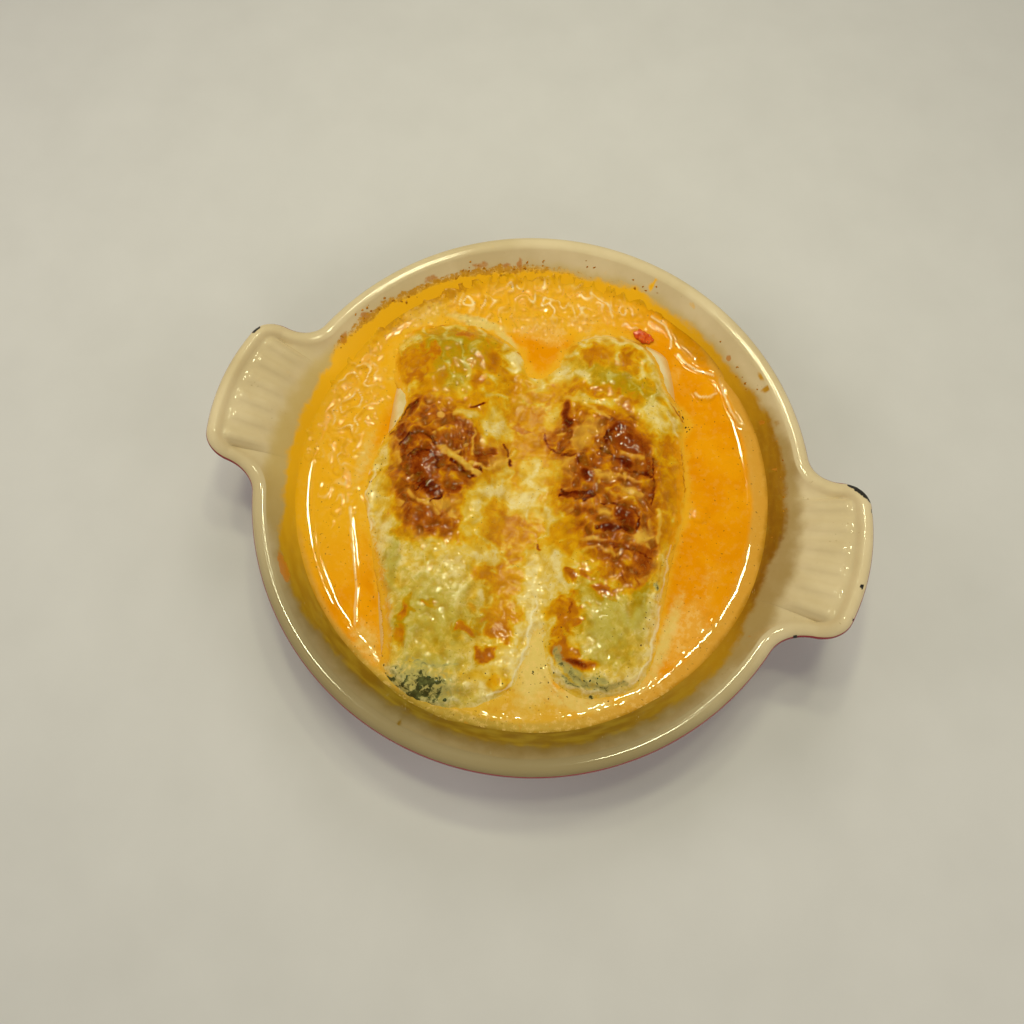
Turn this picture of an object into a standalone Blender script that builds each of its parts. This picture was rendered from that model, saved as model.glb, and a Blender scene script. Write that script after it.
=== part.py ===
# Two stuffed cannelloni baked in sauce under melted cheese, in the round enamelled
# iron dish they are served in. Metres, +Z up. The origin is the middle of the dish's
# base and the two handles lie along X.

import bmesh
import bpy
import numpy as np
from math import asin, atan2, cos, degrees, hypot, pi, radians, sin, sqrt
from mathutils import Vector
from mathutils.geometry import interpolate_bezier

# Dish: body
RIM_RADIUS = 0.100
RIM_HEIGHT = 0.040
FLOOR_RADIUS = 0.058
FLOOR_HEIGHT = 0.0045
SHOULDER_RADIUS = 0.086
SHOULDER_HEIGHT = 0.0295
WALL_SLOPE = 1.235
BASE_RADIUS = 0.069
BODY_THICKNESS = 0.0070
HANDLE_THICKNESS = 0.0050

# Dish: rolled lip, measured inwards from the outer edge
LIP_WIDTH = 0.0056
LIP_DEPTH = 0.0009
GROOVE_DEPTH = 0.0024

# Dish: handles
HANDLE_REACH = 0.1167
HANDLE_HALF_WIDTH = 0.0276
HANDLE_CORNER = 0.0096
HANDLE_FILLET = 0.0120
HANDLE_RISE = 0.643
RIBS = 6
RIB_PITCH = 4.0
RIB_HEIGHT = 0.0006
RIB_START = 0.0935
RIB_END = 0.1095

# Food
SAUCE_HEIGHT = 0.0294
PASTA_THICKNESS = 0.0022
CHEESE_THICKNESS = 0.0026
GAP = 0.0003
REST_GAP = 0.0006
FILLING_GAP = 0.0007
CUTTER_GAP = 0.0005
SECTION_POWER = 2.3
ROLL_SIDES = 20
FOOT_SHARE = 0.8

# Each roll runs from its far end to its near end. Half widths are at the far end,
# the middle and the near end, and so are the heights of its top above the base.
ROLLS = {
    "left": {
        "far": (-0.0440, 0.0500),
        "near": (-0.0095, -0.0765),
        "bow": -0.0020,
        "half_width": (0.0215, 0.0240, 0.0140),
        "top": (0.0345, 0.0372, 0.0335),
    },
    "right": {
        "far": (0.0165, 0.0640),
        "near": (0.0410, -0.0635),
        "bow": 0.0030,
        "half_width": (0.0195, 0.0245, 0.0150),
        "top": (0.0345, 0.0372, 0.0322),
    },
}

# Edge of the melted cheese, clockwise from its far left corner
CHEESE_EDGE = [
    (-0.0640, 0.0440), (-0.0520, 0.0530), (-0.0360, 0.0545), (-0.0200, 0.0500),
    (-0.0080, 0.0560), (0.0020, 0.0650), (0.0160, 0.0680), (0.0280, 0.0640),
    (0.0380, 0.0500), (0.0470, 0.0330), (0.0520, 0.0120), (0.0530, -0.0120),
    (0.0510, -0.0360), (0.0480, -0.0540), (0.0400, -0.0610), (0.0310, -0.0580),
    (0.0215, -0.0460), (0.0150, -0.0490), (0.0130, -0.0620), (0.0060, -0.0740),
    (-0.0080, -0.0780), (-0.0240, -0.0740), (-0.0330, -0.0560), (-0.0430, -0.0350),
    (-0.0520, -0.0120), (-0.0560, 0.0120), (-0.0600, 0.0280),
]
CHEESE_CENTRE = (-0.0030, -0.0080)
CHEESE_DRAPE = 0.0040
EDGE_THICKNESS = 0.0010
CHEESE_SADDLE = 0.0335
SADDLE_START = 0.030
SADDLE_END = 0.055

TOMATO_CENTRE = (0.0245, 0.0705, 0.0300)
TOMATO_SIZE = (0.0090, 0.0052, 0.0036)
TOMATO_TURN = -12.0

COLOURS = {
    "enamel": ((0.62, 0.50, 0.32), 0.12, 0.0),
    "sauce": ((0.80, 0.33, 0.03), 0.25, 0.0),
    "pasta": ((0.74, 0.60, 0.28), 0.45, 0.0),
    "filling": ((0.17, 0.20, 0.08), 0.55, 0.0),
    "cheese": ((0.62, 0.40, 0.10), 0.35, 0.0),
    "tomato": ((0.62, 0.07, 0.02), 0.30, 0.0),
}


def clear_scene():
    for obj in list(bpy.data.objects):
        bpy.data.objects.remove(obj)


def new_collection(name):
    collection = bpy.data.collections.new(name)
    bpy.context.scene.collection.children.link(collection)
    return collection


def new_material(name):
    colour, roughness, metallic = COLOURS[name]
    material = bpy.data.materials.new(name)
    material.use_nodes = True
    shader = material.node_tree.nodes["Principled BSDF"]
    shader.inputs["Base Color"].default_value = (*colour, 1.0)
    shader.inputs["Roughness"].default_value = roughness
    shader.inputs["Metallic"].default_value = metallic
    return material


def smoothstep(low, high, value):
    t = min(1.0, max(0.0, (value - low) / (high - low)))
    return t * t * (3 - 2 * t)


def loft(name, rings, collection, material=None, closed=False):
    """One closed body through rings of equal length: capped at both ends with a
    middle vertex, or joined end to start when closed."""
    bm = bmesh.new()
    rows = [[bm.verts.new(point) for point in ring] for ring in rings]
    count = len(rows[0])
    pairs = list(zip(rows, rows[1:]))
    if closed:
        pairs.append((rows[-1], rows[0]))
    for lower, upper in pairs:
        for i in range(count):
            j = (i + 1) % count
            bm.faces.new((lower[i], lower[j], upper[j], upper[i]))
    if not closed:
        for row in (rows[0], rows[-1]):
            middle = sum((vert.co for vert in row), Vector()) / count
            hub = bm.verts.new(middle)
            for i in range(count):
                bm.faces.new((row[i], row[(i + 1) % count], hub))
    bmesh.ops.recalc_face_normals(bm, faces=bm.faces)
    mesh = bpy.data.meshes.new(name)
    bm.to_mesh(mesh)
    bm.free()
    mesh.shade_smooth()
    mesh.set_sharp_from_angle(angle=radians(40))
    obj = bpy.data.objects.new(name, mesh)
    collection.objects.link(obj)
    if material:
        mesh.materials.append(material)
    return obj


def cut(obj, cutter):
    modifier = obj.modifiers.new("cut " + cutter.name, "BOOLEAN")
    modifier.operation = "DIFFERENCE"
    modifier.solver = "EXACT"
    modifier.object = cutter


def as_cutter(obj):
    obj.hide_render = True
    obj.display_type = "WIRE"
    return obj


# Dish --------------------------------------------------------------------------

def wall_height(radius):
    """Height of the inside of the dish below its rim."""
    corner = FLOOR_HEIGHT + 0.0095
    corner_radius = SHOULDER_RADIUS - (SHOULDER_HEIGHT - corner) / WALL_SLOPE
    if radius > corner_radius:
        return SHOULDER_HEIGHT + WALL_SLOPE * (radius - SHOULDER_RADIUS)
    if radius < FLOOR_RADIUS:
        return FLOOR_HEIGHT
    t = (radius - FLOOR_RADIUS) / (corner_radius - FLOOR_RADIUS)
    end_slope = WALL_SLOPE * (corner_radius - FLOOR_RADIUS)
    rise = corner - FLOOR_HEIGHT
    return FLOOR_HEIGHT + rise * (3 * t**2 - 2 * t**3) + end_slope * (t**3 - t**2)


def quarter_outline():
    """Outer edge of the rim from +X to +Y, as pairs of a point and its outward
    normal: the handle's end, its corner, the fillet and then the round body."""
    fillet_y = HANDLE_HALF_WIDTH + HANDLE_FILLET
    fillet_x = sqrt((RIM_RADIUS + HANDLE_FILLET) ** 2 - fillet_y**2)
    corner_y = HANDLE_HALF_WIDTH - HANDLE_CORNER
    inner = HANDLE_REACH - HANDLE_CORNER
    tip_x = (inner**2 - fillet_x**2 - corner_y**2) / (2 * (inner - fillet_x))
    tip_radius = HANDLE_REACH - tip_x
    tip_end = atan2(corner_y, fillet_x - tip_x)
    body_start = atan2(fillet_y, fillet_x)

    normals = []
    groove_radius = tip_radius - LIP_WIDTH
    for step in range(10):
        turn = radians(step * RIB_PITCH / 4)
        normals.append(("tip", turn + asin(tip_x * sin(turn) / groove_radius)))
    normals += [("corner", tip_end + t * (pi / 2 - tip_end)) for t in (0, 0.25, 0.5, 0.75)]
    normals += [("fillet", pi / 2 + t * (body_start - pi / 2)) for t in (0, 0.25, 0.5, 0.75)]
    normals += [("body", body_start + t * (pi / 2 - body_start)) for t in np.linspace(0, 1, 9)]

    centres = {
        "tip": (Vector((tip_x, 0)), tip_radius),
        "corner": (Vector((fillet_x, corner_y)), HANDLE_CORNER),
        "fillet": (Vector((fillet_x, fillet_y)), -HANDLE_FILLET),
        "body": (Vector((0, 0)), RIM_RADIUS),
    }
    outline = []
    for arc, angle in normals:
        centre, radius = centres[arc]
        normal = Vector((cos(angle), sin(angle)))
        outline.append((centre + radius * normal, normal))
    return outline


def full_outline():
    quarter = quarter_outline()
    half = quarter + [(Vector((-p.x, p.y)), Vector((-n.x, n.y))) for p, n in quarter[-2::-1]]
    back = [(Vector((p.x, -p.y)), Vector((n.x, -n.y))) for p, n in half[-2:0:-1]]
    return half + back


def rib_height(angle, radius):
    off_axis = abs((degrees(angle) + 90) % 180 - 90)
    across = cos(2 * pi * (off_axis - RIB_PITCH / 2) / RIB_PITCH)
    sides = 1 - smoothstep(RIBS * RIB_PITCH / 2 - 0.5, RIBS * RIB_PITCH / 2 + 1.5, off_axis)
    ends = smoothstep(RIB_START, RIB_START + 0.003, radius)
    ends *= 1 - smoothstep(RIB_END - 0.001, RIB_END + 0.001, radius)
    return RIB_HEIGHT * across * sides * ends


class RimPoint:
    """One column of the dish: its place on the rim and the heights that follow."""

    def __init__(self, edge, normal):
        self.edge = edge
        self.normal = normal
        beyond = max(0.0, edge.length - RIM_RADIUS)
        self.handle = smoothstep(0.0, 0.010, beyond)
        self.crest = RIM_HEIGHT + HANDLE_RISE * beyond
        inner = edge - LIP_WIDTH * normal
        self.angle = atan2(inner.y, inner.x)
        self.inner_radius = inner.length
        self.inner_height = self.crest - LIP_DEPTH - (GROOVE_DEPTH - LIP_DEPTH) * self.handle

    def polar(self, radius, height):
        return Vector((radius * cos(self.angle), radius * sin(self.angle), height))

    def on_lip(self, inwards, below_crest):
        point = self.edge - inwards * self.normal
        return Vector((point.x, point.y, self.crest - below_crest))

    def inside(self, t):
        """Point from the shoulder (0) to the inner edge of the lip (1)."""
        run = self.inner_radius - SHOULDER_RADIUS
        rise = self.inner_height - SHOULDER_HEIGHT
        start = WALL_SLOPE * run
        end = rise * (1 - 0.22 * self.handle)
        height = SHOULDER_HEIGHT + rise * (3 * t**2 - 2 * t**3)
        height += start * (t**3 - 2 * t**2 + t) + end * (t**3 - t**2)
        radius = SHOULDER_RADIUS + t * run
        return self.polar(radius, height + rib_height(self.angle, radius))

    def underside(self, t):
        thickness = BODY_THICKNESS + (HANDLE_THICKNESS - BODY_THICKNESS) * self.handle
        point = self.inside(t)
        flat = rib_height(self.angle, hypot(point.x, point.y))
        return Vector((point.x, point.y, point.z - flat - thickness))


def make_dish(collection, material):
    columns = [RimPoint(edge, normal) for edge, normal in full_outline()]
    rings = []
    for radius in (FLOOR_RADIUS, 0.0625, 0.0665, 0.0705, 0.078, SHOULDER_RADIUS):
        rings.append([c.polar(radius, wall_height(radius)) for c in columns])
    for t in (0.28, 0.43, 0.86, 0.95, 1.0):
        rings.append([c.inside(t) for c in columns])
    lip = ((0.0044, 0.0003), (0.0030, 0.0), (0.0012, 0.0005), (0.0, 0.0020), (0.0008, 0.0040))
    for inwards, below in lip:
        rings.append([c.on_lip(inwards, below) for c in columns])
    for t in (0.90, 0.30):
        rings.append([c.underside(t) for c in columns])
    outside = ((0.0860, 0.0224), (0.0778, 0.0115), (0.0737, 0.0042), (0.0713, 0.0010), (BASE_RADIUS, 0.0))
    for radius, height in outside:
        rings.append([c.polar(radius, height) for c in columns])
    return loft("dish", rings, collection, material)


# Rolls -------------------------------------------------------------------------

def along(values, s):
    """Smooth value through three stations, at the far end, the middle and the near end."""
    far, middle, near = values
    return far * (2 * s - 1) * (s - 1) + middle * 4 * s * (1 - s) + near * s * (2 * s - 1)


class Roll:
    def __init__(self, sizes):
        self.sizes = sizes
        self.far = Vector(sizes["far"])
        self.length = (Vector(sizes["near"]) - self.far).length
        self.run = (Vector(sizes["near"]) - self.far) / self.length
        self.side = Vector((-self.run.y, self.run.x))

    def middle(self, s):
        bow = self.sizes["bow"] * 4 * s * (1 - s)
        return self.far + self.run * self.length * s + self.side * bow

    def span(self, s, grow):
        """Lowest and highest point of the section, which rests on the dish."""
        half = along(self.sizes["half_width"], s) * FOOT_SHARE
        feet = [(self.middle(s) + self.side * half * way).length for way in (-1, 1)]
        resting = max(FLOOR_HEIGHT, wall_height(max(feet))) + REST_GAP
        return resting - grow, along(self.sizes["top"], s) + grow

    def section(self, s, grow, deepen=0.0):
        """Flattened round of the roll at station s, grown by a distance. A cutter's
        underside goes deeper."""
        half = along(self.sizes["half_width"], s) + grow
        low, high = self.span(s, grow)
        points = []
        for i in range(ROLL_SIDES):
            angle = 2 * pi * i / ROLL_SIDES
            across = abs(cos(angle)) ** (2 / SECTION_POWER) * (1 if cos(angle) >= 0 else -1)
            up = abs(sin(angle)) ** (2 / SECTION_POWER) * (1 if sin(angle) >= 0 else -1)
            place = self.middle(s) + self.side * across * half
            height = low + (high - low) * (0.5 + 0.5 * up) + deepen * min(0.0, up)
            points.append(Vector((place.x, place.y, height)))
        return points

    def top_at(self, x, y):
        """Height of the roll's upper surface over a place, or None beside it."""
        place = Vector((x, y))
        offset = place - self.far
        s = offset.dot(self.run) / self.length
        if not -0.02 <= s <= 1.02:
            return None
        s = min(1.0, max(0.0, s))
        across = (place - self.middle(s)).dot(self.side)
        half = along(self.sizes["half_width"], s)
        if abs(across) >= half:
            return None
        low, high = self.span(s, 0.0)
        up = (1 - (abs(across) / half) ** SECTION_POWER) ** (1 / SECTION_POWER)
        return low + (high - low) * (0.5 + 0.5 * up)


def make_roll(side, roll, collection, material):
    stations = np.linspace(0, 1, 9)
    outer = [roll.section(s, 0.0) for s in stations]
    inner = [roll.section(s, -PASTA_THICKNESS) for s in stations[::-1]]
    return loft("cannelloni_" + side, outer + inner, collection, material, closed=True)


def make_filling(side, roll, collection, material):
    inwards = -PASTA_THICKNESS - FILLING_GAP
    rings = [roll.section(s, inwards) for s in np.linspace(0, 1, 9)]
    dome = [point.copy() for point in rings[-1]]
    middle = sum(dome, Vector()) / len(dome)
    bulge = Vector((roll.run.x, roll.run.y, 0.0)) * 0.0012
    rings.append([middle + (point - middle) * 0.72 + bulge for point in dome])
    return loft("filling_" + side, rings, collection, material)


def make_roll_cutter(side, roll, collection, deepen):
    stations = [-0.004, *np.linspace(0, 1, 9)[1:-1], 1.012]
    rings = [roll.section(s, CUTTER_GAP, deepen) for s in stations]
    return as_cutter(loft("space_" + side, rings, collection))


# Sauce -------------------------------------------------------------------------

def make_sauce(collection, material):
    """Turned fill of the dish, up to the level of the sauce."""
    clearance = 0.0005
    radii = (0.0855, 0.0780, 0.0705, 0.0665, 0.0625, FLOOR_RADIUS)
    profile = [(0.0, SAUCE_HEIGHT), (0.0400, SAUCE_HEIGHT)]
    for radius in radii:
        height = min(SAUCE_HEIGHT, wall_height(radius + clearance) + GAP)
        profile.append((radius, height))
    profile.append((0.0, FLOOR_HEIGHT + GAP))
    mesh = bpy.data.meshes.new("sauce")
    edges = [(i, i + 1) for i in range(len(profile) - 1)]
    mesh.from_pydata([(x, 0.0, z) for x, z in profile], edges, [])
    obj = bpy.data.objects.new("sauce", mesh)
    collection.objects.link(obj)
    mesh.materials.append(material)
    screw = obj.modifiers.new("turn", "SCREW")
    screw.axis = "Z"
    screw.steps = 48
    screw.render_steps = 48
    screw.use_merge_vertices = True
    screw.merge_threshold = 0.00001
    return obj


# Cheese ------------------------------------------------------------------------

def cheese_edge(count):
    """Points evenly spread on a smooth closed curve through the edge's own points."""
    edge = [Vector((x, y, 0.0)) for x, y in CHEESE_EDGE]
    dense = []
    for i, point in enumerate(edge):
        before, after = edge[i - 1], edge[(i + 1) % len(edge)]
        beyond = edge[(i + 2) % len(edge)]
        first = point + (after - before) / 6
        second = after - (beyond - point) / 6
        dense += interpolate_bezier(point, first, second, after, 9)[:-1]
    steps = [(b - a).length for a, b in zip(dense, dense[1:] + dense[:1])]
    reached = np.concatenate([[0.0], np.cumsum(steps)])
    spots = np.linspace(0, reached[-1], count, endpoint=False)
    xs = np.interp(spots, reached, [p.x for p in dense] + [dense[0].x])
    ys = np.interp(spots, reached, [p.y for p in dense] + [dense[0].y])
    return list(zip(xs, ys))


def ground_at(rolls, x, y):
    """What the cheese lies on, the rolls' backs or the sauce between them, as the
    highest point within its drape."""
    tops = [SAUCE_HEIGHT]
    for turn in range(8):
        for reach in (0.0, CHEESE_DRAPE):
            spot = (x + reach * cos(turn * pi / 4), y + reach * sin(turn * pi / 4))
            tops += [roll.top_at(*spot) or SAUCE_HEIGHT for roll in rolls]
    return max(tops)


def cheese_top(rolls, x, y, inside):
    """Upper face of the cheese, which sags between the rolls and thins at its edge."""
    resting = ground_at(rolls, x, y) + EDGE_THICKNESS
    resting += (CHEESE_THICKNESS - EDGE_THICKNESS) * inside
    falling = smoothstep(SADDLE_START, SADDLE_END, -y)
    saddle = CHEESE_SADDLE - (CHEESE_SADDLE - SAUCE_HEIGHT - EDGE_THICKNESS) * falling
    return max(resting, saddle * inside)


def make_cheese(rolls, collection, material):
    """Blanket of cheese down to the sauce, before the rolls are cut out of it."""
    edge = [Vector(place) for place in cheese_edge(48)]
    middle = Vector(CHEESE_CENTRE)
    under, over = [], []
    for share in (0.12, 0.30, 0.48, 0.64, 0.78, 0.90, 1.0):
        places = [middle.lerp(place, share) for place in edge]
        inside = 1 - smoothstep(0.75, 1.0, share)
        under.append([Vector((p.x, p.y, SAUCE_HEIGHT + GAP)) for p in places])
        over.append([Vector((p.x, p.y, cheese_top(rolls, p.x, p.y, inside))) for p in places])
    return loft("cheese_topping", under[:1] + under[-1:] + over[::-1], collection, material)


# Tomato ------------------------------------------------------------------------

def make_tomato(name, grow, collection, material=None):
    bpy.ops.mesh.primitive_cube_add(size=1.0)
    obj = bpy.context.object
    obj.name = name
    for vert in obj.data.vertices:
        vert.co = Vector(c * (size + 2 * grow) for c, size in zip(vert.co, TOMATO_SIZE))
    soft = obj.modifiers.new("soft", "SUBSURF")
    soft.levels = 1
    soft.render_levels = 1
    obj.location = TOMATO_CENTRE
    obj.rotation_euler.z = radians(TOMATO_TURN)
    for owner in list(obj.users_collection):
        owner.objects.unlink(obj)
    collection.objects.link(obj)
    if material:
        obj.data.materials.append(material)
    obj.data.shade_smooth()
    return obj


def main():
    clear_scene()
    parts = new_collection("cannelloni")
    cutters = new_collection("cutters")
    materials = {name: new_material(name) for name in COLOURS}
    rolls = {side: Roll(sizes) for side, sizes in ROLLS.items()}

    make_dish(parts, materials["enamel"])
    sauce = make_sauce(parts, materials["sauce"])
    cheese = make_cheese(rolls.values(), parts, materials["cheese"])
    for side, roll in rolls.items():
        make_roll(side, roll, parts, materials["pasta"])
        make_filling(side, roll, parts, materials["filling"])
        space = make_roll_cutter(side, roll, cutters, 0.004)
        cut(sauce, space)
        cut(cheese, space)
    make_tomato("tomato_piece", 0.0, parts, materials["tomato"])
    cut(sauce, as_cutter(make_tomato("space_tomato", 2 * GAP, cutters)))


main()
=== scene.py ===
import math

import bmesh
import bpy
import numpy as np
from mathutils import Matrix, Vector


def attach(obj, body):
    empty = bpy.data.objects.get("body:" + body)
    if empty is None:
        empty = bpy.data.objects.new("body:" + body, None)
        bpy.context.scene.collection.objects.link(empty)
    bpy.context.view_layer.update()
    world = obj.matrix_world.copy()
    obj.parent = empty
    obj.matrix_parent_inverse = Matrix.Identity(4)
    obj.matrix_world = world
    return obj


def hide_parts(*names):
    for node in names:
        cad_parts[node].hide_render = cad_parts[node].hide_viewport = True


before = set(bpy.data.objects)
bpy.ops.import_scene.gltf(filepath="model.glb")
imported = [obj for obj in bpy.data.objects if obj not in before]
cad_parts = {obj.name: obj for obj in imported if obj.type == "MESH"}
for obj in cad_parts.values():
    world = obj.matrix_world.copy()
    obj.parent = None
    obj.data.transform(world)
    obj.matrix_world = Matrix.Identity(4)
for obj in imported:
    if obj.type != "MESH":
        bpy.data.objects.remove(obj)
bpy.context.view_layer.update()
print("frame loaded")

# Lengths below are millimetres in the dish's own frame: X along the handles, Z up from the base.
mm = 0.001


def softStep(low, high, value):
    t = np.clip((value - low) / (high - low), 0.0, 1.0)
    return t * t * (3 - 2 * t)


def mixed(first, second, share):
    return first + (second - first) * share


def turned(x, y, centre, degrees):
    # coordinates along and across a direction, counted from a centre
    c, s = math.cos(math.radians(degrees)), math.sin(math.radians(degrees))
    dx, dy = x - centre[0], y - centre[1]
    return dx * c + dy * s, dy * c - dx * s


def gradientAt(ix, iy, fx, fy, seed):
    h = (ix * 73856093) ^ (iy * 19349663) ^ (seed * 83492791)
    h = ((h ^ (h >> 13)) * 1274126177) & 0x7FFFFFFF
    angle = ((h ^ (h >> 15)) & 4095) * (math.pi / 2048)
    return np.cos(angle) * fx + np.sin(angle) * fy


def lumps(x, y, size, seed):
    # smooth noise from about -1 to 1, with lumps about one size apart
    u, v = x / size, y / size
    iu, iv = np.floor(u).astype(np.int64), np.floor(v).astype(np.int64)
    fu, fv = u - iu, v - iv
    su, sv = fu * fu * fu * (fu * (fu * 6 - 15) + 10), fv * fv * fv * (fv * (fv * 6 - 15) + 10)
    low = mixed(gradientAt(iu, iv, fu, fv, seed), gradientAt(iu + 1, iv, fu - 1, fv, seed), su)
    high = mixed(gradientAt(iu, iv + 1, fu, fv - 1, seed),
                 gradientAt(iu + 1, iv + 1, fu - 1, fv - 1, seed), su)
    return 1.5 * mixed(low, high, sv)


def rough(x, y, size, seed, layers=3):
    total, weight = 0.0, 0.0
    for layer in range(layers):
        share = 0.55 ** layer
        total = total + share * lumps(x, y, size * 0.5 ** layer, seed + 17 * layer)
        weight += share
    return total / weight


def flakes(x, y, size, seed, stretch=1.6):
    # irregular cells: a random tone for each, and a slope across it
    angle = 1.6 * lumps(x, y, size * 6, seed + 5)
    u = (x * np.cos(angle) + y * np.sin(angle)) / size
    v = (y * np.cos(angle) - x * np.sin(angle)) / size * stretch
    u, v = u + 0.35 * lumps(x, y, size, seed + 6), v + 0.35 * lumps(x, y, size, seed + 7)
    nearest = np.full(x.shape, 9.0)
    tone, slope = np.zeros_like(x), np.zeros_like(x)
    iu, iv = np.floor(u).astype(np.int64), np.floor(v).astype(np.int64)
    for du in (-1, 0, 1):
        for dv in (-1, 0, 1):
            h = ((iu + du) * 73856093) ^ ((iv + dv) * 19349663) ^ (seed * 83492791)
            h = ((h ^ (h >> 13)) * 1274126177) & 0x7FFFFFFF
            cu = iu + du + ((h >> 3) & 255) / 255
            cv = iv + dv + ((h >> 11) & 255) / 255
            gap = np.hypot(u - cu, v - cv)
            turn = ((h >> 17) & 255) / 255 * 2 * math.pi
            closer = gap < nearest
            tone = np.where(closer, ((h >> 7) & 255) / 127.5 - 1, tone)
            slope = np.where(closer, (u - cu) * np.cos(turn) + (v - cv) * np.sin(turn), slope)
            nearest = np.where(closer, gap, nearest)
    return tone, slope


def blurred(grid, reach):
    # three box passes, which come close to a Gaussian of this many cells
    size = max(1, int(round(reach)))
    for axis in (0, 1):
        for _ in range(3):
            ends = [(size, size) if a == axis else (0, 0) for a in (0, 1)]
            padded = np.pad(grid, ends, mode="edge")
            running = np.cumsum(padded, axis=axis)
            zero = np.zeros_like(np.take(running, [0], axis=axis))
            running = np.concatenate([zero, running], axis=axis)
            count = grid.shape[axis]
            upper = np.take(running, range(2 * size + 1, 2 * size + 1 + count), axis=axis)
            lower = np.take(running, range(count), axis=axis)
            grid = (upper - lower) / (2 * size + 1)
    return grid


def patches(x, y, spots, fray=0.0, seed=1, soft=0.45, fraySize=4.0):
    # strongest of many soft-edged ovals: (x, y, half length, half width, turn, strength)
    level = np.zeros_like(x)
    ragged = rough(x, y, fraySize, seed) * fray
    for cx, cy, length, width, turn, strength in spots:
        along, across = turned(x, y, (cx, cy), turn)
        reach = np.hypot(along / length, across / width) + ragged
        level = np.maximum(level, strength * (1 - softStep(1 - soft, 1 + soft, reach)))
    return level


def lineDistance(x, y, points):
    nearest = np.full(x.shape, 1e9)
    for (ax, ay), (bx, by) in zip(points[:-1], points[1:]):
        dx, dy = bx - ax, by - ay
        t = np.clip(((x - ax) * dx + (y - ay) * dy) / (dx * dx + dy * dy), 0, 1)
        nearest = np.minimum(nearest, (x - ax - t * dx) ** 2 + (y - ay - t * dy) ** 2)
    return np.sqrt(nearest)


def strokes(x, y, lines, fray=0.0, seed=1, soft=0.4, fraySize=2.5):
    # strongest of many soft lines: (half width, strength, then the points it runs through)
    level = np.zeros_like(x)
    ragged = rough(x, y, fraySize, seed) * fray
    for width, strength, *points in lines:
        reach = lineDistance(x, y, points) / width + ragged
        level = np.maximum(level, strength * (1 - softStep(1 - soft, 1 + soft, reach)))
    return level


def closedCurve(points, count=12):
    points = np.array(points, float)
    before, after, beyond = np.roll(points, 1, 0), np.roll(points, -1, 0), np.roll(points, -2, 0)
    t = (np.arange(count) / count)[None, :, None]
    p0, p1, p2, p3 = (p[:, None, :] for p in (before, points, after, beyond))
    curve = 0.5 * (2 * p1 + (p2 - p0) * t + (2 * p0 - 5 * p1 + 4 * p2 - p3) * t**2
                   + (3 * p1 - p0 - 3 * p2 + p3) * t**3)
    return curve.reshape(-1, 2)


def insideDistance(x, y, curve):
    # distance to a closed curve, positive inside it
    crossings = np.zeros(x.shape, int)
    for (ax, ay), (bx, by) in zip(curve, np.roll(curve, -1, 0)):
        if ay != by:
            level = (ay > y) != (by > y)
            crossings += level & (x < (y - ay) * (bx - ax) / (by - ay) + ax)
    nearest = lineDistance(x, y, np.concatenate([curve, curve[:1]]))
    return nearest * np.where(crossings % 2 == 1, 1, -1)


def domes(x, y, spots, fray=0.0, seed=1):
    # highest of many rounded swellings: (x, y, half length, half width, turn, height)
    height = np.zeros_like(x)
    ragged = rough(x, y, 4.0, seed) * fray
    for cx, cy, length, width, turn, rise in spots:
        along, across = turned(x, y, (cx, cy), turn)
        reach = np.hypot(along / length, across / width) + ragged
        height = np.maximum(height, rise * np.sqrt(np.clip(1 - reach**2, 0, 1)))
    return height


def softMax(first, second, width):
    share = np.clip(width - np.abs(first - second), 0, width) / width
    return np.maximum(first, second) + share * share * width / 4


class Wire:
    # a value in a material's node tree; arithmetic on it adds Math nodes
    def __init__(self, paint, socket):
        self.paint = paint
        self.socket = socket

    def __add__(self, other):
        return self.paint.maths("ADD", self, other)

    __radd__ = __add__

    def __sub__(self, other):
        return self.paint.maths("SUBTRACT", self, other)

    def __rsub__(self, other):
        return self.paint.maths("SUBTRACT", other, self)

    def __mul__(self, other):
        return self.paint.maths("MULTIPLY", self, other)

    __rmul__ = __mul__


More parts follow.
